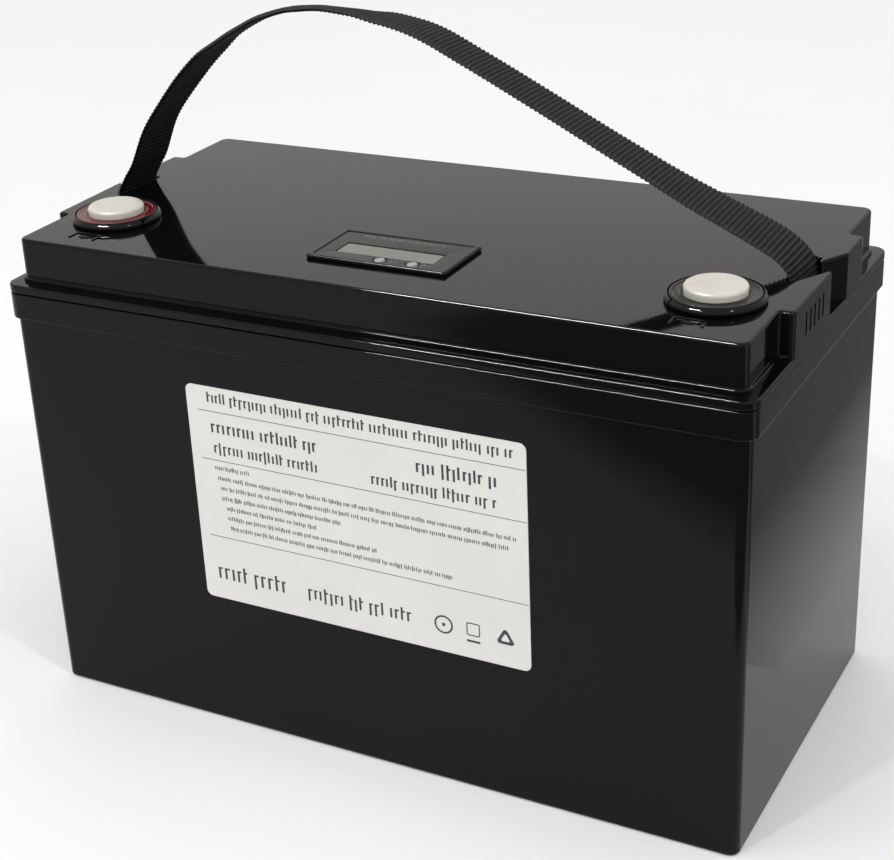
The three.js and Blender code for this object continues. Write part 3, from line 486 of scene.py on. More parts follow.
def make_looks():
    """One material for each of the record's slots, and three for the printed marks."""
    return {
        **{name: glossy_plastic(name, *values) for name, values in GLOSSY.items()},
        **{name: brushed_metal(name, *values) for name, values in METALS.items()},
        "cap_white": translucent_white(),
        "webbing_black": webbing(),
        "toggle_black": moulded_plastic("toggle_black", (0.012, 0.012, 0.013), 0.5),
        "seal_rubber": moulded_plastic("seal_rubber", (0.014, 0.014, 0.014), 0.8, 0.00004),
        "label_paper": printed_paper(),
        "display_window": liquid_crystal(),
        "button_silver": moulded_plastic("button_silver", (0.3, 0.3, 0.29), 0.38),
        "circuit_board": circuit_board(),
        "cell_wrap": cell_wrap(),
        "epoxy_sheet": woven_sheet(),
        "foam_grey": foam(),
        "cable_red": cable_sheath("cable_red", (0.34, 0.012, 0.012)),
        "cable_black": cable_sheath("cable_black", (0.014, 0.014, 0.0145)),
        "ribbon_grey": flat_ribbon(),
        "ink": printed_ink("label_ink", (0.03, 0.03, 0.033), (0.02, 0.02, 0.023), (0.05, 0.05, 0.053)),
        "ink_grey": printed_ink("label_ink_grey", (0.11,) * 3, (0.09,) * 3, (0.15,) * 3),
        "ink_pale": moulded_plastic("display_ink", (0.16, 0.158, 0.145), 0.5),
    }


# ---------------------------------------------------------------- mesh tools

SHARP = math.radians(38)  # edges that turn more than this stay crisp


def finish_piece(name, mesh, slot, body="housing", stands_for=(), look=None):
    """Makes the shown object of a finished mesh, rounds its shading, and hands it to the frame."""
    piece = bpy.data.objects.new(name, mesh)
    bpy.context.scene.collection.objects.link(piece)
    mesh.materials.clear()
    mesh.materials.append(looks[look or slot])
    mesh.shade_smooth()
    mesh.set_sharp_from_angle(angle=SHARP)
    weigh = piece.modifiers.new("even_shading", "WEIGHTED_NORMAL")
    weigh.keep_sharp = True
    if body:
        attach(piece, body)
    if stands_for:
        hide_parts(*stands_for)
    return piece


def to_mesh(bm, name):
    bmesh.ops.remove_doubles(bm, verts=bm.verts, dist=1e-7)
    bmesh.ops.recalc_face_normals(bm, faces=bm.faces)
    mesh = bpy.data.meshes.new(name)
    bm.to_mesh(mesh)
    bm.free()
    return mesh


def fillet(corners, steps=6, closed=True):
    """A line of (x, y) through (x, y, radius) corners, with each corner rounded by an arc."""
    line = []
    count = len(corners)
    for i, (x, y, radius, *rest) in enumerate(corners):
        here = Vector((x, y))
        if radius <= 0 or (not closed and i in (0, count - 1)):
            line.append((x, y, *rest))
            continue
        before = (Vector(corners[i - 1][:2]) - here).normalized()
        after = (Vector(corners[(i + 1) % count][:2]) - here).normalized()
        half = math.acos(max(-1, min(1, before.dot(after)))) / 2
        reach = radius / math.tan(half)
        centre = here + (before + after).normalized() * (radius / math.sin(half))
        start = here + before * reach - centre
        turn = (math.pi - 2 * half) * (1 if before.cross(after) < 0 else -1)
        for k in range(steps + 1):
            angle = turn * k / steps
            c, s = math.cos(angle), math.sin(angle)
            line.append((centre.x + start.x * c - start.y * s, centre.y + start.x * s + start.y * c, *rest))
    return line


def rectangle(length, width, radius, centre=(0, 0), steps=6):
    x, y = length / 2, width / 2
    cx, cy = centre
    corners = [
        (cx - x, cy - y, radius), (cx + x, cy - y, radius),
        (cx + x, cy + y, radius), (cx - x, cy + y, radius),
    ]
    return fillet(corners, steps)


def circle(radius, centre=(0, 0), steps=64):
    turns = [2 * math.pi * i / steps for i in range(steps)]
    return [(centre[0] + radius * math.cos(turn), centre[1] + radius * math.sin(turn)) for turn in turns]


def ring(bm, outline, z):
    """A closed loop of vertices in a level plane, from an outline in millimetres."""
    return [bm.verts.new((p[0] * MM, p[1] * MM, z * MM)) for p in outline]


def skin(bm, first, second):
    """The faces between two loops of the same length."""
    count = len(first)
    for i in range(count):
        j = (i + 1) % count
        bm.faces.new((first[i], first[j], second[j], second[i]))


def cover(bm, *loops):
    """Fills the flat area inside the first loop and outside the others."""
    edges = []
    for loop in loops:
        for i, v in enumerate(loop):
            pair = (v, loop[(i + 1) % len(loop)])
            edges.append(bm.edges.get(pair) or bm.edges.new(pair))
    bmesh.ops.triangle_fill(bm, use_beauty=True, use_dissolve=False, edges=edges)


def stack(bm, levels):
    """Skins a pile of (outline, z) loops and returns the vertex loops."""
    loops = [ring(bm, outline, z) for outline, z in levels]
    for first, second in zip(loops, loops[1:]):
        skin(bm, first, second)
    return loops


def lathe(bm, profile, centre, steps=96):
    """Turns a closed (radius, z) profile about a vertical axis. Points at radius 0 become one vertex."""
    loops = []
    for radius, z in profile:
        if radius < 1e-6:
            loops.append([bm.verts.new((centre[0] * MM, centre[1] * MM, z * MM))])
        else:
            loops.append(ring(bm, circle(radius, centre, steps), z))
    for first, second in zip(loops, loops[1:] + loops[:1]):
        if len(first) == 1 and len(second) == 1:
            continue
        for i in range(steps):
            j = (i + 1) % steps
            around = ((first, i), (first, j), (second, j), (second, i))
            corners = [loop[k % len(loop)] for loop, k in around]
            bm.faces.new(list(dict.fromkeys(corners)))


def box_cutter(low, high, radius=0.0):
    """A box in millimetres, with round upright corners where a radius is given."""
    bm = bmesh.new()
    middle = ((low[0] + high[0]) / 2, (low[1] + high[1]) / 2)
    outline = rectangle(high[0] - low[0], high[1] - low[1], radius, middle, 5)
    loops = stack(bm, [(outline, low[2]), (outline, high[2])])
    for loop in loops:
        cover(bm, loop)
    return to_mesh(bm, "cutter")


def carve(mesh, tools):
    """Joins meshes to a mesh or cuts them from it. Tools are (mesh, 'UNION' or 'DIFFERENCE')."""
    scene = bpy.context.scene
    work = bpy.data.objects.new("carved", mesh)
    scene.collection.objects.link(work)
    helpers = []
    for tool, operation in tools:
        helper = bpy.data.objects.new("tool", tool)
        scene.collection.objects.link(helper)
        helpers.append(helper)
        step = work.modifiers.new("carve", "BOOLEAN")
        step.operation = operation
        step.solver = "EXACT"
        step.object = helper
    evaluated = work.evaluated_get(bpy.context.evaluated_depsgraph_get())
    result = bpy.data.meshes.new_from_object(evaluated)
    for extra in [work, *helpers]:
        bpy.data.objects.remove(extra)
    return result


def size_of(node):
    """A node's lowest and highest corners, in millimetres."""
    low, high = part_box(node)
    return low / MM, high / MM


# ---------------------------------------------------------------- case

case_low, case_high = size_of("case")
lid_low, lid_high = size_of("lid")
collar_low, collar_high = size_of("terminal_collar_negative")
bezel_low, bezel_high = size_of("display_bezel")
RIM_LENGTH = case_high.x - case_low.x
RIM_WIDTH = case_high.y - case_low.y
CASE_HEIGHT = case_high.z
BAND_PROUD = 2.0
BAND_HEIGHT = 10.8
CORNER = 4.5
WALL = 3.5
FLOOR = 4.0


def around_case(proud):
    """The case's outline, this far outside its walls."""
    less = 2 * (BAND_PROUD - proud)
    return rectangle(RIM_LENGTH - less, RIM_WIDTH - less, max(1.5, CORNER + proud), steps=10)


def arc(centre, radius, start, end, steps=5):
    """Points on an arc, with its angles in degrees."""
    turns = [math.radians(start + (end - start) * i / steps) for i in range(steps + 1)]
    return [(centre[0] + radius * math.cos(turn), centre[1] + radius * math.sin(turn)) for turn in turns]


def make_case():
    band = CASE_HEIGHT - BAND_HEIGHT
    groove_middle = BAND_PROUD - (WALL + BAND_PROUD) / 2
    profile = [
        *arc((-1.6, 1.6), 1.6, -90, 0),
        *arc((0.9, band - 1.3), 0.9, 180, 90, 4),
        *arc((BAND_PROUD - 0.6, band + 0.2), 0.6, -90, 0, 4),
        *arc((BAND_PROUD - 0.5, CASE_HEIGHT - 0.5), 0.5, 0, 90, 4),
        (groove_middle + 1.15, CASE_HEIGHT), (groove_middle + 1.15, CASE_HEIGHT - 1.5),
        (groove_middle - 1.15, CASE_HEIGHT - 1.5), (groove_middle - 1.15, CASE_HEIGHT),
        *arc((-WALL + 0.3, CASE_HEIGHT - 0.3), 0.3, 90, 180, 3),
        *arc((-WALL - 1.5, FLOOR + 1.5), 1.5, 0, -90, 4),
    ]
    bm = bmesh.new()
    loops = stack(bm, [(around_case(proud), z) for proud, z in profile])
    cover(bm, loops[0])
    cover(bm, loops[-1])
    finish_piece("case_moulding", to_mesh(bm, "case_moulding"), "case_black", stands_for=["case"])


# ---------------------------------------------------------------- lid

LID_UNDER = CASE_HEIGHT + 0.4
FLANGE_TOP = LID_UNDER + 3.6
LID_TOP = FLANGE_TOP + 18.7
CEILING = LID_TOP - 3.0
LID_LENGTH = RIM_LENGTH - 11
LID_WIDTH = RIM_WIDTH - 13
TAB_OUTER = lid_high.x
TAB_HALF = 44.5
SLOT_X = RIM_LENGTH / 2 - 10.2
SLOT_HALF_WIDTH = 2.5
SLOT_HALF_LENGTH = 14.75
MOUTH_FRONT = 3.5
MOUTH_REAR = (7.7, 22.5)  # at the slot, and where it leaves the tab
EDGE = 1.2  # rounding of the lid's top edge
SLOT_EDGE = 0.7
FOOT = 1.1  # how far the foot of the block stands out
TERMINAL = ((collar_low.x + collar_high.x) / 2, (collar_low.y + collar_high.y) / 2)
NECK_HOLE = 13.0
SKIRT_GAP = 0.35  # between the case's walls and the lid's skirt
CHAMBER = (8.4, 33.0, 8.4)  # the toggle bar's room: width, length, height
GRIPS = 5
GRIP_PITCH = 5.2


def lid_corners():
    """The lid block in plan, anticlockwise: (x, y, radius, edge rounding, foot)."""
    x, y = LID_LENGTH / 2, LID_WIDTH / 2
    inner, outer = SLOT_X - SLOT_HALF_WIDTH, SLOT_X + SLOT_HALF_WIDTH
    right = [
        (x, -y, 4.0, EDGE, FOOT),
        (x, -TAB_HALF, 1.2, EDGE, FOOT),
        (TAB_OUTER, -TAB_HALF, 2.2, EDGE, 0),
        (TAB_OUTER, MOUTH_FRONT, 0.9, SLOT_EDGE, 0),
        (SLOT_X, -SLOT_HALF_LENGTH, 2.0, SLOT_EDGE, 0),
        (inner, -SLOT_HALF_LENGTH, 0.8, SLOT_EDGE, 0),
        (inner, SLOT_HALF_LENGTH, 1.0, SLOT_EDGE, 0),
        (outer, SLOT_HALF_LENGTH, 1.0, SLOT_EDGE, 0),
        (outer, MOUTH_REAR[0], 0.9, SLOT_EDGE, 0),
        (TAB_OUTER, MOUTH_REAR[1], 2.0, SLOT_EDGE, 0),
        (TAB_OUTER, TAB_HALF, 2.2, EDGE, 0),
        (x, TAB_HALF, 1.2, EDGE, FOOT),
        (x, y, 4.0, EDGE, FOOT),
    ]
    left = [(-px, *rest) for px, *rest in reversed(right)]
    return right + left


def inset(outline, amounts):
    """The outline moved inwards, point by point."""
    moved = []
    count = len(outline)
    for i, point in enumerate(outline):
        here = Vector(point[:2])
        before = (here - Vector(outline[i - 1][:2])).normalized()
        after = (Vector(outline[(i + 1) % count][:2]) - here).normalized()
        normal = Vector((-before.y - after.y, before.x + after.x)).normalized()
        reach = amounts[i] / max(0.3, normal.dot(Vector((-before.y, before.x))))
        moved.append((here.x + normal.x * reach, here.y + normal.y * reach))
    return moved


def lid_hollow_outline():
    """The room under the lid's top, which leaves a solid pocket round each strap slot."""
    x, y = LID_LENGTH / 2 - 3.2, LID_WIDTH / 2 - 3.2
    pocket_x, pocket_half = SLOT_X - 7.2, 19.5
    right = [
        (x, -y, 1.5), (x, -pocket_half, 0), (pocket_x, -pocket_half, 1),
        (pocket_x, pocket_half, 1), (x, pocket_half, 0), (x, y, 1.5),
    ]
    left = [(-px, py, radius) for px, py, radius in reversed(right)]
    return fillet(right + left, 4)


def make_lid_shell():
    """The lid's skin, closed, before the toggle chambers, grip grooves and polarity marks."""
    bm = bmesh.new()
    block = fillet(lid_corners(), 7)
    edge, foot = ([point[i] for point in block] for i in (2, 3))

    def flange(proud):
        corner = CORNER + BAND_PROUD + proud
        return rectangle(RIM_LENGTH + 2 * proud, RIM_WIDTH + 2 * proud, corner, steps=10)

    def skirt(inward):
        less = 2 * (BAND_PROUD + WALL + SKIRT_GAP + inward)
        return rectangle(RIM_LENGTH - less, RIM_WIDTH - less, 1.5, steps=10)

    outside = stack(bm, [
        (skirt(2.4), LID_UNDER), (skirt(2.4), lid_low.z), (skirt(0), lid_low.z), (skirt(0), LID_UNDER),
        *[(flange(a - 0.7), z) for a, z in arc((0, LID_UNDER + 0.7), 0.7, -90, 0, 4)],
        *[(flange(a - 0.7), z) for a, z in arc((0, FLANGE_TOP - 0.7), 0.7, 0, 90, 4)],
    ])
    rise = [
        (1.0, FLANGE_TOP), (1.0, FLANGE_TOP + 1.1), (0.9, FLANGE_TOP + 1.4), (0.65, FLANGE_TOP + 1.6),
        (0.3, FLANGE_TOP + 1.7), (0.1, FLANGE_TOP + 1.85), (0.0, FLANGE_TOP + 2.2),
    ]
    walls = stack(bm, [
        *[(inset(block, [-share * f for f in foot]), z) for share, z in rise],
        *[
            (inset(block, [e * (1 - math.cos(turn)) for e in edge]), LID_TOP - EDGE + EDGE * math.sin(turn))
            for turn in (i / 5 * math.pi / 2 for i in range(6))
        ],
    ])
    cover(bm, outside[-1], walls[0])
    holes = [circle(NECK_HOLE, (side * TERMINAL[0], TERMINAL[1])) for side in (-1, 1)]
    window_y = (bezel_low.y + bezel_high.y) / 2
    length, width = bezel_high.x - bezel_low.x - 1.4, bezel_high.y - bezel_low.y - 1.4
    holes.append(rectangle(length, width, 1, (0, window_y)))
    lips = [ring(bm, hole, LID_TOP) for hole in holes]
    roots = [ring(bm, hole, CEILING) for hole in holes]
    for lip, root in zip(lips, roots):
        skin(bm, lip, root)
    cover(bm, walls[-1], *lips)
    room = lid_hollow_outline()
    under, ceiling = stack(bm, [(room, LID_UNDER), (room, CEILING)])
    cover(bm, outside[0], under)
    cover(bm, ceiling, *roots)
    return to_mesh(bm, "lid_shell")


def lid_tools():
    """What is cut from the lid's skin: the rooms for the toggle bars and the tabs' grip grooves."""
    tools = []
    width, length, height = CHAMBER
    for side in (-1, 1):
        x = side * SLOT_X
        low = (x - width / 2, -length / 2, FLANGE_TOP)
        high = (x + width / 2, length / 2, FLANGE_TOP + height)
        tools.append((box_cutter(low, high, 0.4), "DIFFERENCE"))
        for i in range(GRIPS):
            y = -30 + GRIP_PITCH * i
            face = side * TAB_OUTER
            low, high = (face - 0.6, y - 1, LID_TOP - 14), (face + 0.9, y + 1, LID_TOP - 5)
            tools.append((box_cutter(low, high, 0.5), "DIFFERENCE"))
    return tools


MARK_SHIFT = 1.5  # of the mark, from the terminal towards the lid's middle
MARK_GAP = 2.2  # between the mark and the collar
COLLAR_RADIUS = (collar_high.x - collar_low.x) / 2


def make_marks(side):
    """The raised frame by a terminal, open at the front, with its plus or minus."""
    line = 0.45
    half_w, half_d = 6.5, 3.3
    x = side * (TERMINAL[0] - MARK_SHIFT)
    y = TERMINAL[1] - COLLAR_RADIUS - MARK_GAP - half_d
    frame_line = [
        (-half_w, -half_d), (-half_w + 2 * line, -half_d), (-half_w + 2 * line, half_d - 2 * line),
        (half_w - 2 * line, half_d - 2 * line), (half_w - 2 * line, -half_d), (half_w, -half_d),
        (half_w, half_d), (-half_w, half_d),
    ]
    arm = 2.3
    if side < 0:
        sign = [
            (-arm, -line), (-line, -line), (-line, -1.53), (line, -1.53), (line, -line), (arm, -line),
            (arm, line), (line, line), (line, 1.53), (-line, 1.53), (-line, line), (-arm, line),
        ]
    else:
        sign = [(-arm, -line), (arm, -line), (arm, line), (-arm, line)]
    made = []
    for points, drop in ((frame_line, 0), (sign, -1)):
        outline = fillet([(x + px, y + drop + py, 0.18) for px, py in points], 3)
        bm = bmesh.new()
        levels = [
            (outline, LID_TOP - 0.6), (outline, LID_TOP + 0.28),
            (inset(outline, [0.05] * len(outline)), LID_TOP + 0.4),
            (inset(outline, [0.15] * len(outline)), LID_TOP + 0.45),
        ]
        loops = stack(bm, levels)
        cover(bm, loops[0])
        cover(bm, loops[-1])
        made.append(to_mesh(bm, "mark"))
    return made


def make_lid():
    marks = [(mark, "UNION") for side in (-1, 1) for mark in make_marks(side)]
    mesh = carve(make_lid_shell(), lid_tools() + marks)
    finish_piece("lid_moulding", mesh, "case_black", stands_for=["lid"])


# ---------------------------------------------------------------- terminals


COLLAR_WALL = 1.5
COLLAR_DROP = 0.4  # how much lower than the CAD's the shown collar is, as in the photo
RING_RISE = 0.4  # how much higher than the CAD's the shown ring is, as in the photo


def make_collar(pole, centre):
    low, high = collar_low.z, collar_high.z - COLLAR_DROP
    outer = COLLAR_RADIUS
    bm = bmesh.new()
    profile = [
        (outer - COLLAR_WALL, low), (outer - 0.4, low), (outer - 0.1, low + 0.25),
        *[(outer - 2.2 + r, z) for r, z in arc((0, low + 0.8), 2.2, 0, 62, 9)],
        (outer - 1.22, high - 0.1), (outer - 1.35, high - 0.08), (outer - COLLAR_WALL, high - 0.3),
    ]
    lathe(bm, profile, centre, 128)
    name = f"collar_{pole}"
    finish_piece(name, to_mesh(bm, name), "collar_black", stands_for=[f"terminal_collar_{pole}"])


def make_terminal_ring(pole, centre, slot):
    ring_low, ring_high = size_of(f"terminal_ring_{pole}")
    outer = (ring_high.x - ring_low.x) / 2
    top, floor, under = ring_high.z + RING_RISE, LID_TOP + 0.9, LID_TOP + 0.3
    bm = bmesh.new()
    corners = [
        (6.3, ring_low.z, 0), (12.7, ring_low.z, 0.2), (12.7, under, 0.1),
        (outer, under, 0.15), (outer, top, 0.5), (16.0, top, 0.3), (15.5, top - 0.3, 0.3),
        (13.6, top - 0.3, 0.3), (13.1, top, 0.2), (12.3, top, 0.3),
        (12.3, floor, 0.3), (6.3, floor, 0),
    ]
    lathe(bm, fillet(corners, 4), centre, 128)
    name = f"insert_{pole}"
    finish_piece(name, to_mesh(bm, name), slot, stands_for=[f"terminal_ring_{pole}"])


def make_cap(pole, centre):
    """The lift-off cap: a shallow cup with a soft rim and a slightly dished top."""
    cap_low, cap_high = size_of(f"terminal_cap_{pole}")
    outer = (cap_high.x - cap_low.x) / 2
    low, high = cap_low.z, cap_high.z
    inner = 8.65
    bm = bmesh.new()
    corners = [
        (0, high - 1.6, 0), (inner, high - 1.6, 0.4), (inner, low, 0.3), (outer - 0.15, low, 0.4),
        (outer, high - 0.15, 1.4), (outer - 3.2, high, 1.0), (outer - 5.5, high - 0.2, 2.0),
        (0, high - 0.12, 0),
    ]
    lathe(bm, fillet(corners, 6), centre, 128)
    name = f"cap_{pole}_cup"
    finish_piece(name, to_mesh(bm, name), "cap_white", f"cap_{pole}", [f"terminal_cap_{pole}"])


def make_terminals():
    for pole, side, slot in (("positive", -1, "ring_red"), ("negative", 1, "ring_black")):
        centre = (side * TERMINAL[0], TERMINAL[1])
        make_collar(pole, centre)
        make_terminal_ring(pole, centre, slot)
        make_cap(pole, centre)


# ---------------------------------------------------------------- display

FRAME_WIDTH = 2.2
FACE_Z = bezel_high.z - 0.4
FACE_THICKNESS = 1.7
FACE_UNDER = FACE_Z - FACE_THICKNESS
BUTTONS = ("left", "right")


def button_centre(side):
    low, high = size_of(f"display_button_{side}")
    return (low.x + high.x) / 2, (low.y + high.y) / 2


def make_bezel():
    length, width = bezel_high.x - bezel_low.x, bezel_high.y - bezel_low.y
    centre = (0, (bezel_low.y + bezel_high.y) / 2)
    low, high = LID_TOP + 0.3, bezel_high.z
    window_low, window_high = size_of("display_window")
    window = ((window_low.x + window_high.x) / 2, (window_low.y + window_high.y) / 2)

    def plan(inward, radius=1.6):
        return rectangle(length - 2 * inward, width - 2 * inward, max(0.35, radius - inward), centre, 6)

    def opening(grow):
        across, deep = window_high.x - window_low.x, window_high.y - window_low.y
        return rectangle(across + 2 * grow, deep + 2 * grow, 0.5, window, 5)

    bm = bmesh.new()
    outside = stack(bm, [
        (plan(2.0, 3), FACE_UNDER), (plan(2.0, 3), bezel_low.z),
        (plan(1.0, 2), bezel_low.z), (plan(1.0, 2), low),
        (plan(0.15), low), (plan(0), low + 0.2), (plan(0), high - 0.9),
        *[(plan(0.9 - a), z) for a, z in arc((0, high - 0.9), 0.9, 0, 90, 5)],
        (plan(FRAME_WIDTH - 0.25, 3), high), (plan(FRAME_WIDTH, 3), high - 0.1),
        (plan(FRAME_WIDTH + 0.1, 3), FACE_Z),
    ])
    lip = stack(bm, [(opening(0.75), FACE_Z), (opening(0.3), FACE_Z - 0.3), (opening(0.3), FACE_UNDER)])
    dishes = []
    for side in BUTTONS:
        spot = button_centre(side)
        dish = [(3.35, 0), (3.15, 0.3), (3.05, 0.35), (2.6, 0.35), (2.55, 0.45), (2.55, FACE_THICKNESS)]
        dishes.append(stack(bm, [(circle(radius, spot), FACE_Z - depth) for radius, depth in dish]))
    cover(bm, outside[-1], lip[0], *[dish[0] for dish in dishes])
    cover(bm, outside[0], lip[-1], *[dish[-1] for dish in dishes])
    finish_piece("bezel", to_mesh(bm, "bezel"), "display_black", stands_for=["display_bezel"])


def make_window():
    low, high = size_of("display_window")
    centre = ((low.x + high.x) / 2, (low.y + high.y) / 2)

    def plan(inward):
        return rectangle(high.x - low.x - 2 * inward, high.y - low.y - 2 * inward, 0.4, centre, 5)

    bm = bmesh.new()
    levels = [(0, low.z), (0, high.z - 0.15), (0.05, high.z - 0.04), (0.15, high.z)]
    loops = stack(bm, [(plan(inward), z) for inward, z in levels])
    cover(bm, loops[0])
    cover(bm, loops[-1])
    finish_piece("window", to_mesh(bm, "window"), "display_window", stands_for=["display_window"])


def make_button(side):
    low, high = size_of(f"display_button_{side}")
    spot = button_centre(side)
    radius = (high.y - low.y) / 2
    shoulder = low.z + 1.0
    bm = bmesh.new()
    flange = rectangle(high.x - low.x, 2 * radius, 0.5, spot, 4)
    base, top = stack(bm, [(flange, low.z), (flange, shoulder)])
    stem = stack(bm, [
        (circle(radius - 0.01, spot, 48), shoulder), (circle(radius - 0.01, spot, 48), high.z - 0.45),
        *[(circle(radius - 0.46 + a, spot, 48), z) for a, z in arc((0, high.z - 0.45), 0.45, 0, 90, 5)[1:]],
        (circle(radius * 0.4, spot, 48), high.z), (circle(radius * 0.2, spot, 48), high.z),
    ])
    cover(bm, base)
    cover(bm, top, stem[0])
    cover(bm, stem[-1])
    name = f"push_button_{side}"
    finish_piece(name, to_mesh(bm, name), "button_silver", f"button_{side}", [f"display_button_{side}"])


def make_display():
    make_bezel()
    make_window()
    for side in BUTTONS:
        make_button(side)
    make_display_print()


# ---------------------------------------------------------------- label and print

label_low, label_high = size_of("label")
INK = 0.03  # thickness of printed marks


def make_label():
    bm = bmesh.new()
    centre = ((label_low.x + label_high.x) / 2, (label_low.z + label_high.z) / 2)
    length, height = label_high.x - label_low.x, label_high.z - label_low.z

    def plan(inward):
        return rectangle(length - 2 * inward, height - 2 * inward, 3 - inward, centre, 10)

    back, front = label_high.y, label_low.y
    levels = [(0, back), (0, front + 0.12), (0.04, front + 0.03), (0.12, front)]
    loops = [[bm.verts.new((x * MM, y * MM, z * MM)) for x, z in plan(inward)] for inward, y in levels]
    for first, second in zip(loops, loops[1:]):
        skin(bm, first, second)
    cover(bm, loops[0])
    cover(bm, loops[-1])
    finish_piece("label_sheet", to_mesh(bm, "label_sheet"), "label_paper", stands_for=["label"])


class Print:
    """Thin printed marks on a face, drawn in the face's own (across, up) millimetres."""

    def __init__(self, to_world):
        self.bm = bmesh.new()
        self.to_world = to_world

    def shape(self, outline, holes=()):
        """A mark of printed ink with that outline."""
        layers = []
        for depth in (0, INK):
            layers.append([
                [self.bm.verts.new(Vector(self.to_world(u, v, depth)) * MM) for u, v in (p[:2] for p in loop)]
                for loop in (outline, *holes)
            ])
        for bottom, top in zip(*layers):
            skin(self.bm, bottom, top)
        for layer in layers:
            cover(self.bm, *layer)

    def bar(self, u0, v0, u1, v1, radius=0.0):
        self.shape(rectangle(u1 - u0, v1 - v0, radius, ((u0 + u1) / 2, (v0 + v1) / 2), 2))

    def finish(self, name, slot, look):
        finish_piece(name, to_mesh(self.bm, name), slot, look=look)


def filler_line(ink, u0, u1, base, height, rng, weight):
    """A line of filler: runs of short upright strokes in word-like groups, which say nothing."""
    u = u0
    while u < u1 - height * 0.4:
        for _ in range(rng.randint(3, 9)):
            wide = height * rng.uniform(0.28, 0.5)
            if u + wide > u1:
                break
            tall = height * rng.choice((1.0, 1.0, 1.0, 1.35))
            drop = height * rng.choice((0, 0, 0, 0, 0.3))
            stroke = height * weight
            ink.bar(u, base - drop, u + stroke, base + tall)
            if wide > stroke * 1.6:
                top = base + height
                ink.bar(u + stroke, top - stroke * 0.8, u + wide, top)
            u += wide + height * 0.2
        u += height * 0.45


def make_label_print():
    def on_label(u, v, depth):
        return u, label_low.y - depth, v

    rng = random.Random(7)
    black = Print(on_label)
    lines = [  # from, to, base, height, weight
        (-66.7, 72.5, 156.6, 3.4, 0.25),
        (-66, -14, 143.0, 4.0, 0.25), (29.5, 65, 143.0, 4.0, 0.25),
        (-65.5, -15, 133.8, 3.5, 0.25), (9, 65.4, 133.8, 3.5, 0.25),
        (-69.6, -33, 73.4, 5.4, 0.2), (-25, 24, 73.8, 4.4, 0.22),
    ]
    for u0, u1, base, height, weight in lines:
        filler_line(black, u0, u1, base, height, rng, weight)
    ring_mark(black, (38.5, 76.3), 4.2, 0.8)
    square_mark(black, (51.8, 77), 3.0, 0.5)
    black.bar(48.8, 71.0, 54.8, 72.0)
    triangle_mark(black, (66, 76.3), 5.2, 1.3)
    black.finish("label_print", "label_paper", "ink")
    grey = Print(on_label)
    for height in (152.5, 130.3, 94.0):
        grey.bar(-72, height - 0.16, 76.5, height + 0.16)
    small = [
        (127, -66, -48), (122.2, -65, 72), (117.6, -64, 69), (113, -64, -6), (108.4, -62, -18),
        (103.8, -62, 10), (99.2, -61, 44),
    ]
    for base, u0, u1 in small:
        filler_line(grey, u0, u1, base - 1.0, 1.45, rng, 0.34)
    grey.finish("label_small_print", "label_paper", "ink_grey")


def ring_mark(ink, centre, radius, line):
    ink.shape(circle(radius, centre, 40), [circle(radius - line, centre, 40)])
    ink.shape(circle(line, centre, 20))


def square_mark(ink, centre, half, line):
    hole = 2 * (half - line)
    ink.shape(rectangle(2 * half, 2 * half, 0.9, centre, 4), [rectangle(hole, hole, 0.5, centre, 4)])


def triangle_mark(ink, centre, radius, line):
    def corners(r):
        return [
            (centre[0] + r * math.sin(turn), centre[1] + r * math.cos(turn), r * 0.22)
            for turn in (2 * math.pi * -i / 3 for i in range(3))
        ]

    ink.shape(fillet(corners(radius), 5), [fillet(corners(radius - 2 * line), 5)])


def make_display_print():
    def on_face(u, v, depth):
        return u, v, FACE_Z + depth

    rng = random.Random(11)
    ink = Print(on_face)
    filler_line(ink, -19.5, 18.5, bezel_high.y - 6.2, 1.5, rng, 0.22)
    for side in BUTTONS:
        x, y = button_centre(side)
        ink.shape(circle(0.75, (x + 4.9, y + 0.1), 20), [circle(0.5, (x + 4.9, y + 0.1), 20)])
        ink.bar(x + 6.4, y - 0.1, x + 8.0, y + 0.25)
    ink.finish("display_print", "display_black", "ink_pale")


# ---------------------------------------------------------------- strap

STRAP_WIDTH = 25.0
STRAP_THICKNESS = 1.7
RIB_PITCH = 2.05
RIB_HEIGHT = 0.27
YARN_LENGTH = 1.05  # repeat of the slanting yarns, along the strap
YARN_WIDTH = 0.62  # and across it
INTO_TOGGLE = 2.9  # how far the strap's end reaches under the toggle bar's top
HINGE_GAP = 0.3  # between the hinge line and the CAD strap's lower end


def strap_route():
    """Points of the strap's middle line, (x, z), from the left toggle to the right one."""
    strap_low, strap_high = size_of("carry_strap")
    end = size_of("strap_toggle_right")[1].z - INTO_TOGGLE
    hinge = strap_low.z - HINGE_GAP
    rise = strap_high.z - STRAP_THICKNESS / 2 - hinge
    left, right = -SLOT_X + 8.2, SLOT_X - 18
    shape = [
        (0.029, 0.235), (0.067, 0.425), (0.12, 0.645), (0.17, 0.8), (0.24, 0.94), (0.305, 1),
        (0.395, 1), (0.5, 0.935), (0.585, 0.79), (0.69, 0.585), (0.793, 0.38), (0.898, 0.18),
    ]
    return [
        (-SLOT_X, end), (-SLOT_X, LID_TOP - 6), (-SLOT_X + 0.3, LID_TOP), (-SLOT_X + 4, LID_TOP + 7),
        (left, hinge), *[(left + (right - left) * a, hinge + rise * u) for a, u in shape], (right, hinge),
        (SLOT_X - 9, LID_TOP + 8.6), (SLOT_X - 4.2, LID_TOP + 5), (SLOT_X - 0.8, LID_TOP + 0.4),
        (SLOT_X, LID_TOP - 6), (SLOT_X, end),
    ]


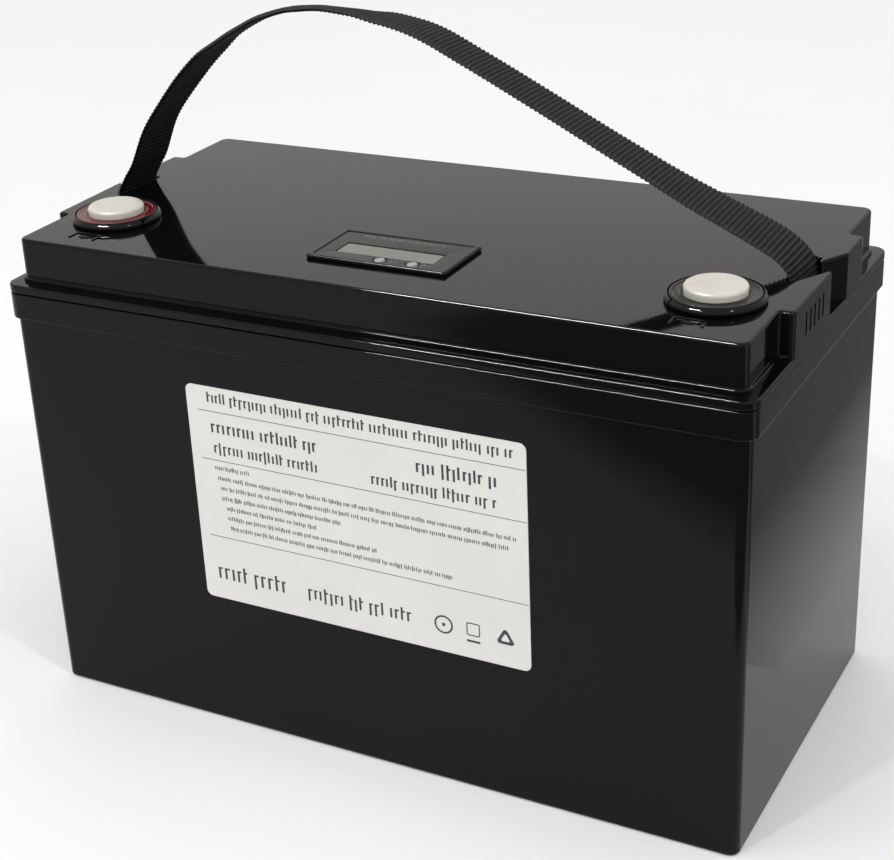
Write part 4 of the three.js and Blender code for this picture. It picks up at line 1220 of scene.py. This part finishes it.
def smooth_curve(points, per_span=40):
    """A centripetal Catmull-Rom curve through the points, as a dense list."""
    ends = [points[0] * 2 - points[1], *points, points[-1] * 2 - points[-2]]
    line = []
    for p0, p1, p2, p3 in zip(ends, ends[1:], ends[2:], ends[3:]):
        t0 = 0
        t1 = t0 + math.sqrt((p1 - p0).length)
        t2 = t1 + math.sqrt((p2 - p1).length)
        t3 = t2 + math.sqrt((p3 - p2).length)
        for k in range(per_span):
            t = t1 + (t2 - t1) * k / per_span
            a1 = p0 * ((t1 - t) / (t1 - t0)) + p1 * ((t - t0) / (t1 - t0))
            a2 = p1 * ((t2 - t) / (t2 - t1)) + p2 * ((t - t1) / (t2 - t1))
            a3 = p2 * ((t3 - t) / (t3 - t2)) + p3 * ((t - t2) / (t3 - t2))
            b1 = a1 * ((t2 - t) / (t2 - t0)) + a2 * ((t - t0) / (t2 - t0))
            b2 = a2 * ((t3 - t) / (t3 - t1)) + a3 * ((t - t1) / (t3 - t1))
            line.append(b1 * ((t2 - t) / (t2 - t1)) + b2 * ((t - t1) / (t2 - t1)))
    return [*line, points[-1]]


def resample(line, step):
    """Points along the line, evenly spaced, with their distance from its start."""
    total = sum((b - a).length for a, b in zip(line, line[1:]))
    count = round(total / step)
    spaced, travelled, i = [], 0.0, 0
    for k in range(count + 1):
        wanted = total * k / count
        while i < len(line) - 2 and travelled + (line[i + 1] - line[i]).length < wanted:
            travelled += (line[i + 1] - line[i]).length
            i += 1
        span = (line[i + 1] - line[i]).length
        share = min(1, max(0, (wanted - travelled) / span)) if span else 0
        spaced.append((line[i].lerp(line[i + 1], share), wanted))
    return spaced, total


def make_strap():
    """The carrying strap, one length of ribbed webbing from toggle to toggle."""
    line, total = resample(smooth_curve([Vector((x, 0, z)) for x, z in strap_route()]), RIB_PITCH / 6)
    across = 18
    half_w, half_t = STRAP_WIDTH / 2, STRAP_THICKNESS / 2
    bm = bmesh.new()
    uv = bm.loops.layers.uv.new("weave")
    sections = []
    for i, (point, along) in enumerate(line):
        before, after = line[max(i - 1, 0)][0], line[min(i + 1, len(line) - 1)][0]
        forward = (after - before).normalized()
        lean = strap_lean(along / total)
        side = Vector((foot_turn(along / total), math.cos(lean), -math.sin(lean)))
        side = (side - forward * side.dot(forward)).normalized()
        up = side.cross(forward) * -1
        phase = 2 * math.pi * along / RIB_PITCH
        wander = perlin(Vector((along * 0.012, 3.1, 0))) * 1.1
        loop = []
        for face in (1, -1):
            for k in range(across + 1):
                share = (k / across * 2 - 1) * face
                skew = share * 0.35
                rib = RIB_HEIGHT * math.sin(phase + skew + (math.pi if face < 0 else 0))
                edge = max(0.0, 1 - (1 - abs(share)) * half_w / 1.1)
                thick = half_t * math.sqrt(max(0.0, 1 - edge * edge)) * 0.86 + (0.1 if edge < 1 else 0)
                thick = thick + rib * (1 - edge)
                fray = perlin(Vector((along * 0.7, share * 9, face))) * 0.05
                width = half_w + 0.12 * math.sin(phase + 1) * (abs(share) > 0.99)
                lift = face * thick + fray + bow(share, along / total)
                place = point + side * (share * width) + up * lift
                corner = bm.verts.new((place + side * wander * mid(along / total)) * MM)
                loop.append((corner, along * MM, share * half_w * MM))
        sections.append(loop)
    count = len(sections[0])
    for first, second in zip(sections, sections[1:]):
        for k in range(count):
            n = (k + 1) % count
            face = bm.faces.new((first[k][0], first[n][0], second[n][0], second[k][0]))
            for loop, source in zip(face.loops, (first[k], first[n], second[n], second[k])):
                loop[uv].uv = (source[1], source[2])
    for end in (sections[0], sections[-1]):
        bm.faces.new([v for v, *_ in end])
    bmesh.ops.recalc_face_normals(bm, faces=bm.faces)
    mesh = bpy.data.meshes.new("strap_webbing")
    bm.to_mesh(mesh)
    bm.free()
    nodes = ["carry_strap", "strap_foot_left", "strap_foot_right"]
    piece = finish_piece("strap_webbing", mesh, "webbing_black", None, nodes)
    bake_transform(piece)


def mid(share):
    """0 at both ends of the strap and 1 over most of its length, with smooth shoulders."""
    reach = min(1, min(share, 1 - share) / 0.12)
    return reach * reach * (3 - 2 * reach)


# How far the band leans back, in degrees, at each share of its length. Set from the photo.
# Its front edge is the higher one where this is positive.
LEANS = [
    (0, 0), (0.06, 0), (0.13, 0.5), (0.2, 4.5), (0.235, 4), (0.27, -2.5), (0.3, -1.5), (0.34, 4),
    (0.375, 9.5), (0.41, 13.5), (0.44, 12), (0.475, 6), (0.53, 4), (0.7, 4), (0.78, 2.5), (0.86, -1.5),
    (0.92, -3), (0.96, 0), (1, 0),
]


def strap_lean(share):
    for (start, low), (end, high) in zip(LEANS, LEANS[1:]):
        if share <= end:
            reach = (share - start) / (end - start)
            return math.radians(low + (high - low) * reach * reach * (3 - 2 * reach))
    return 0.0


def foot_turn(share):
    """How much further towards +X the back edge is than the middle, as a slope, in and near the slots."""
    reach = min(1, min(share, 1 - share) / 0.2)
    return 0.11 * (1 - reach * reach * (3 - 2 * reach))


def bow(share, along):
    """The band's slight cupping across its width."""
    return -0.5 * share * share * mid(along)


# ---------------------------------------------------------------- everything else


def refine(node, bevel):
    """A kept CAD shape with its flats joined and its edges softened."""
    source = frame["nodes"][node]
    slot = source.data.materials[0].name.split(".")[0]
    bm = bmesh.new()
    bm.from_mesh(source.data)
    bmesh.ops.remove_doubles(bm, verts=bm.verts, dist=2e-6)
    bmesh.ops.dissolve_limit(bm, angle_limit=math.radians(0.6), verts=bm.verts, edges=bm.edges)
    if bevel:
        sharp = [e for e in bm.edges if len(e.link_faces) == 2 and e.calc_face_angle(0) > SHARP]
        bmesh.ops.bevel(
            bm, geom=sharp, offset=bevel * MM, offset_type="OFFSET", segments=2, profile=0.5, affect="EDGES",
            clamp_overlap=True,
        )
    name = f"{node}_made"
    finish_piece(name, to_mesh(bm, name), slot, source["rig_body"], [node])


BEVELS = {"cell": 0.3, "busbar": 0.25, "heat_sink": 0.3, "terminal_nut": 0.3, "lug_nut": 0.3, "lid_seal": 0.3}


def refine_rest():
    done = {
        "case", "lid", "label", "carry_strap", "strap_foot_left", "strap_foot_right", "display_bezel",
        "display_window", "display_button_left", "display_button_right",
    }
    for pole in ("positive", "negative"):
        done |= {f"terminal_{part}_{pole}" for part in ("collar", "ring", "cap")}
    for node in sorted(set(frame["nodes"]) - done):
        bevel = next((size for start, size in BEVELS.items() if node.startswith(start)), 0.15)
        refine(node, bevel)


make_camera()
bpy.context.scene.view_settings.view_transform = "Standard"
looks = make_looks()
make_world()
make_lights()
make_floor()
make_dark_cards()
make_case()
make_lid()
make_terminals()
make_display()
make_label()
make_label_print()
make_strap()
refine_rest()
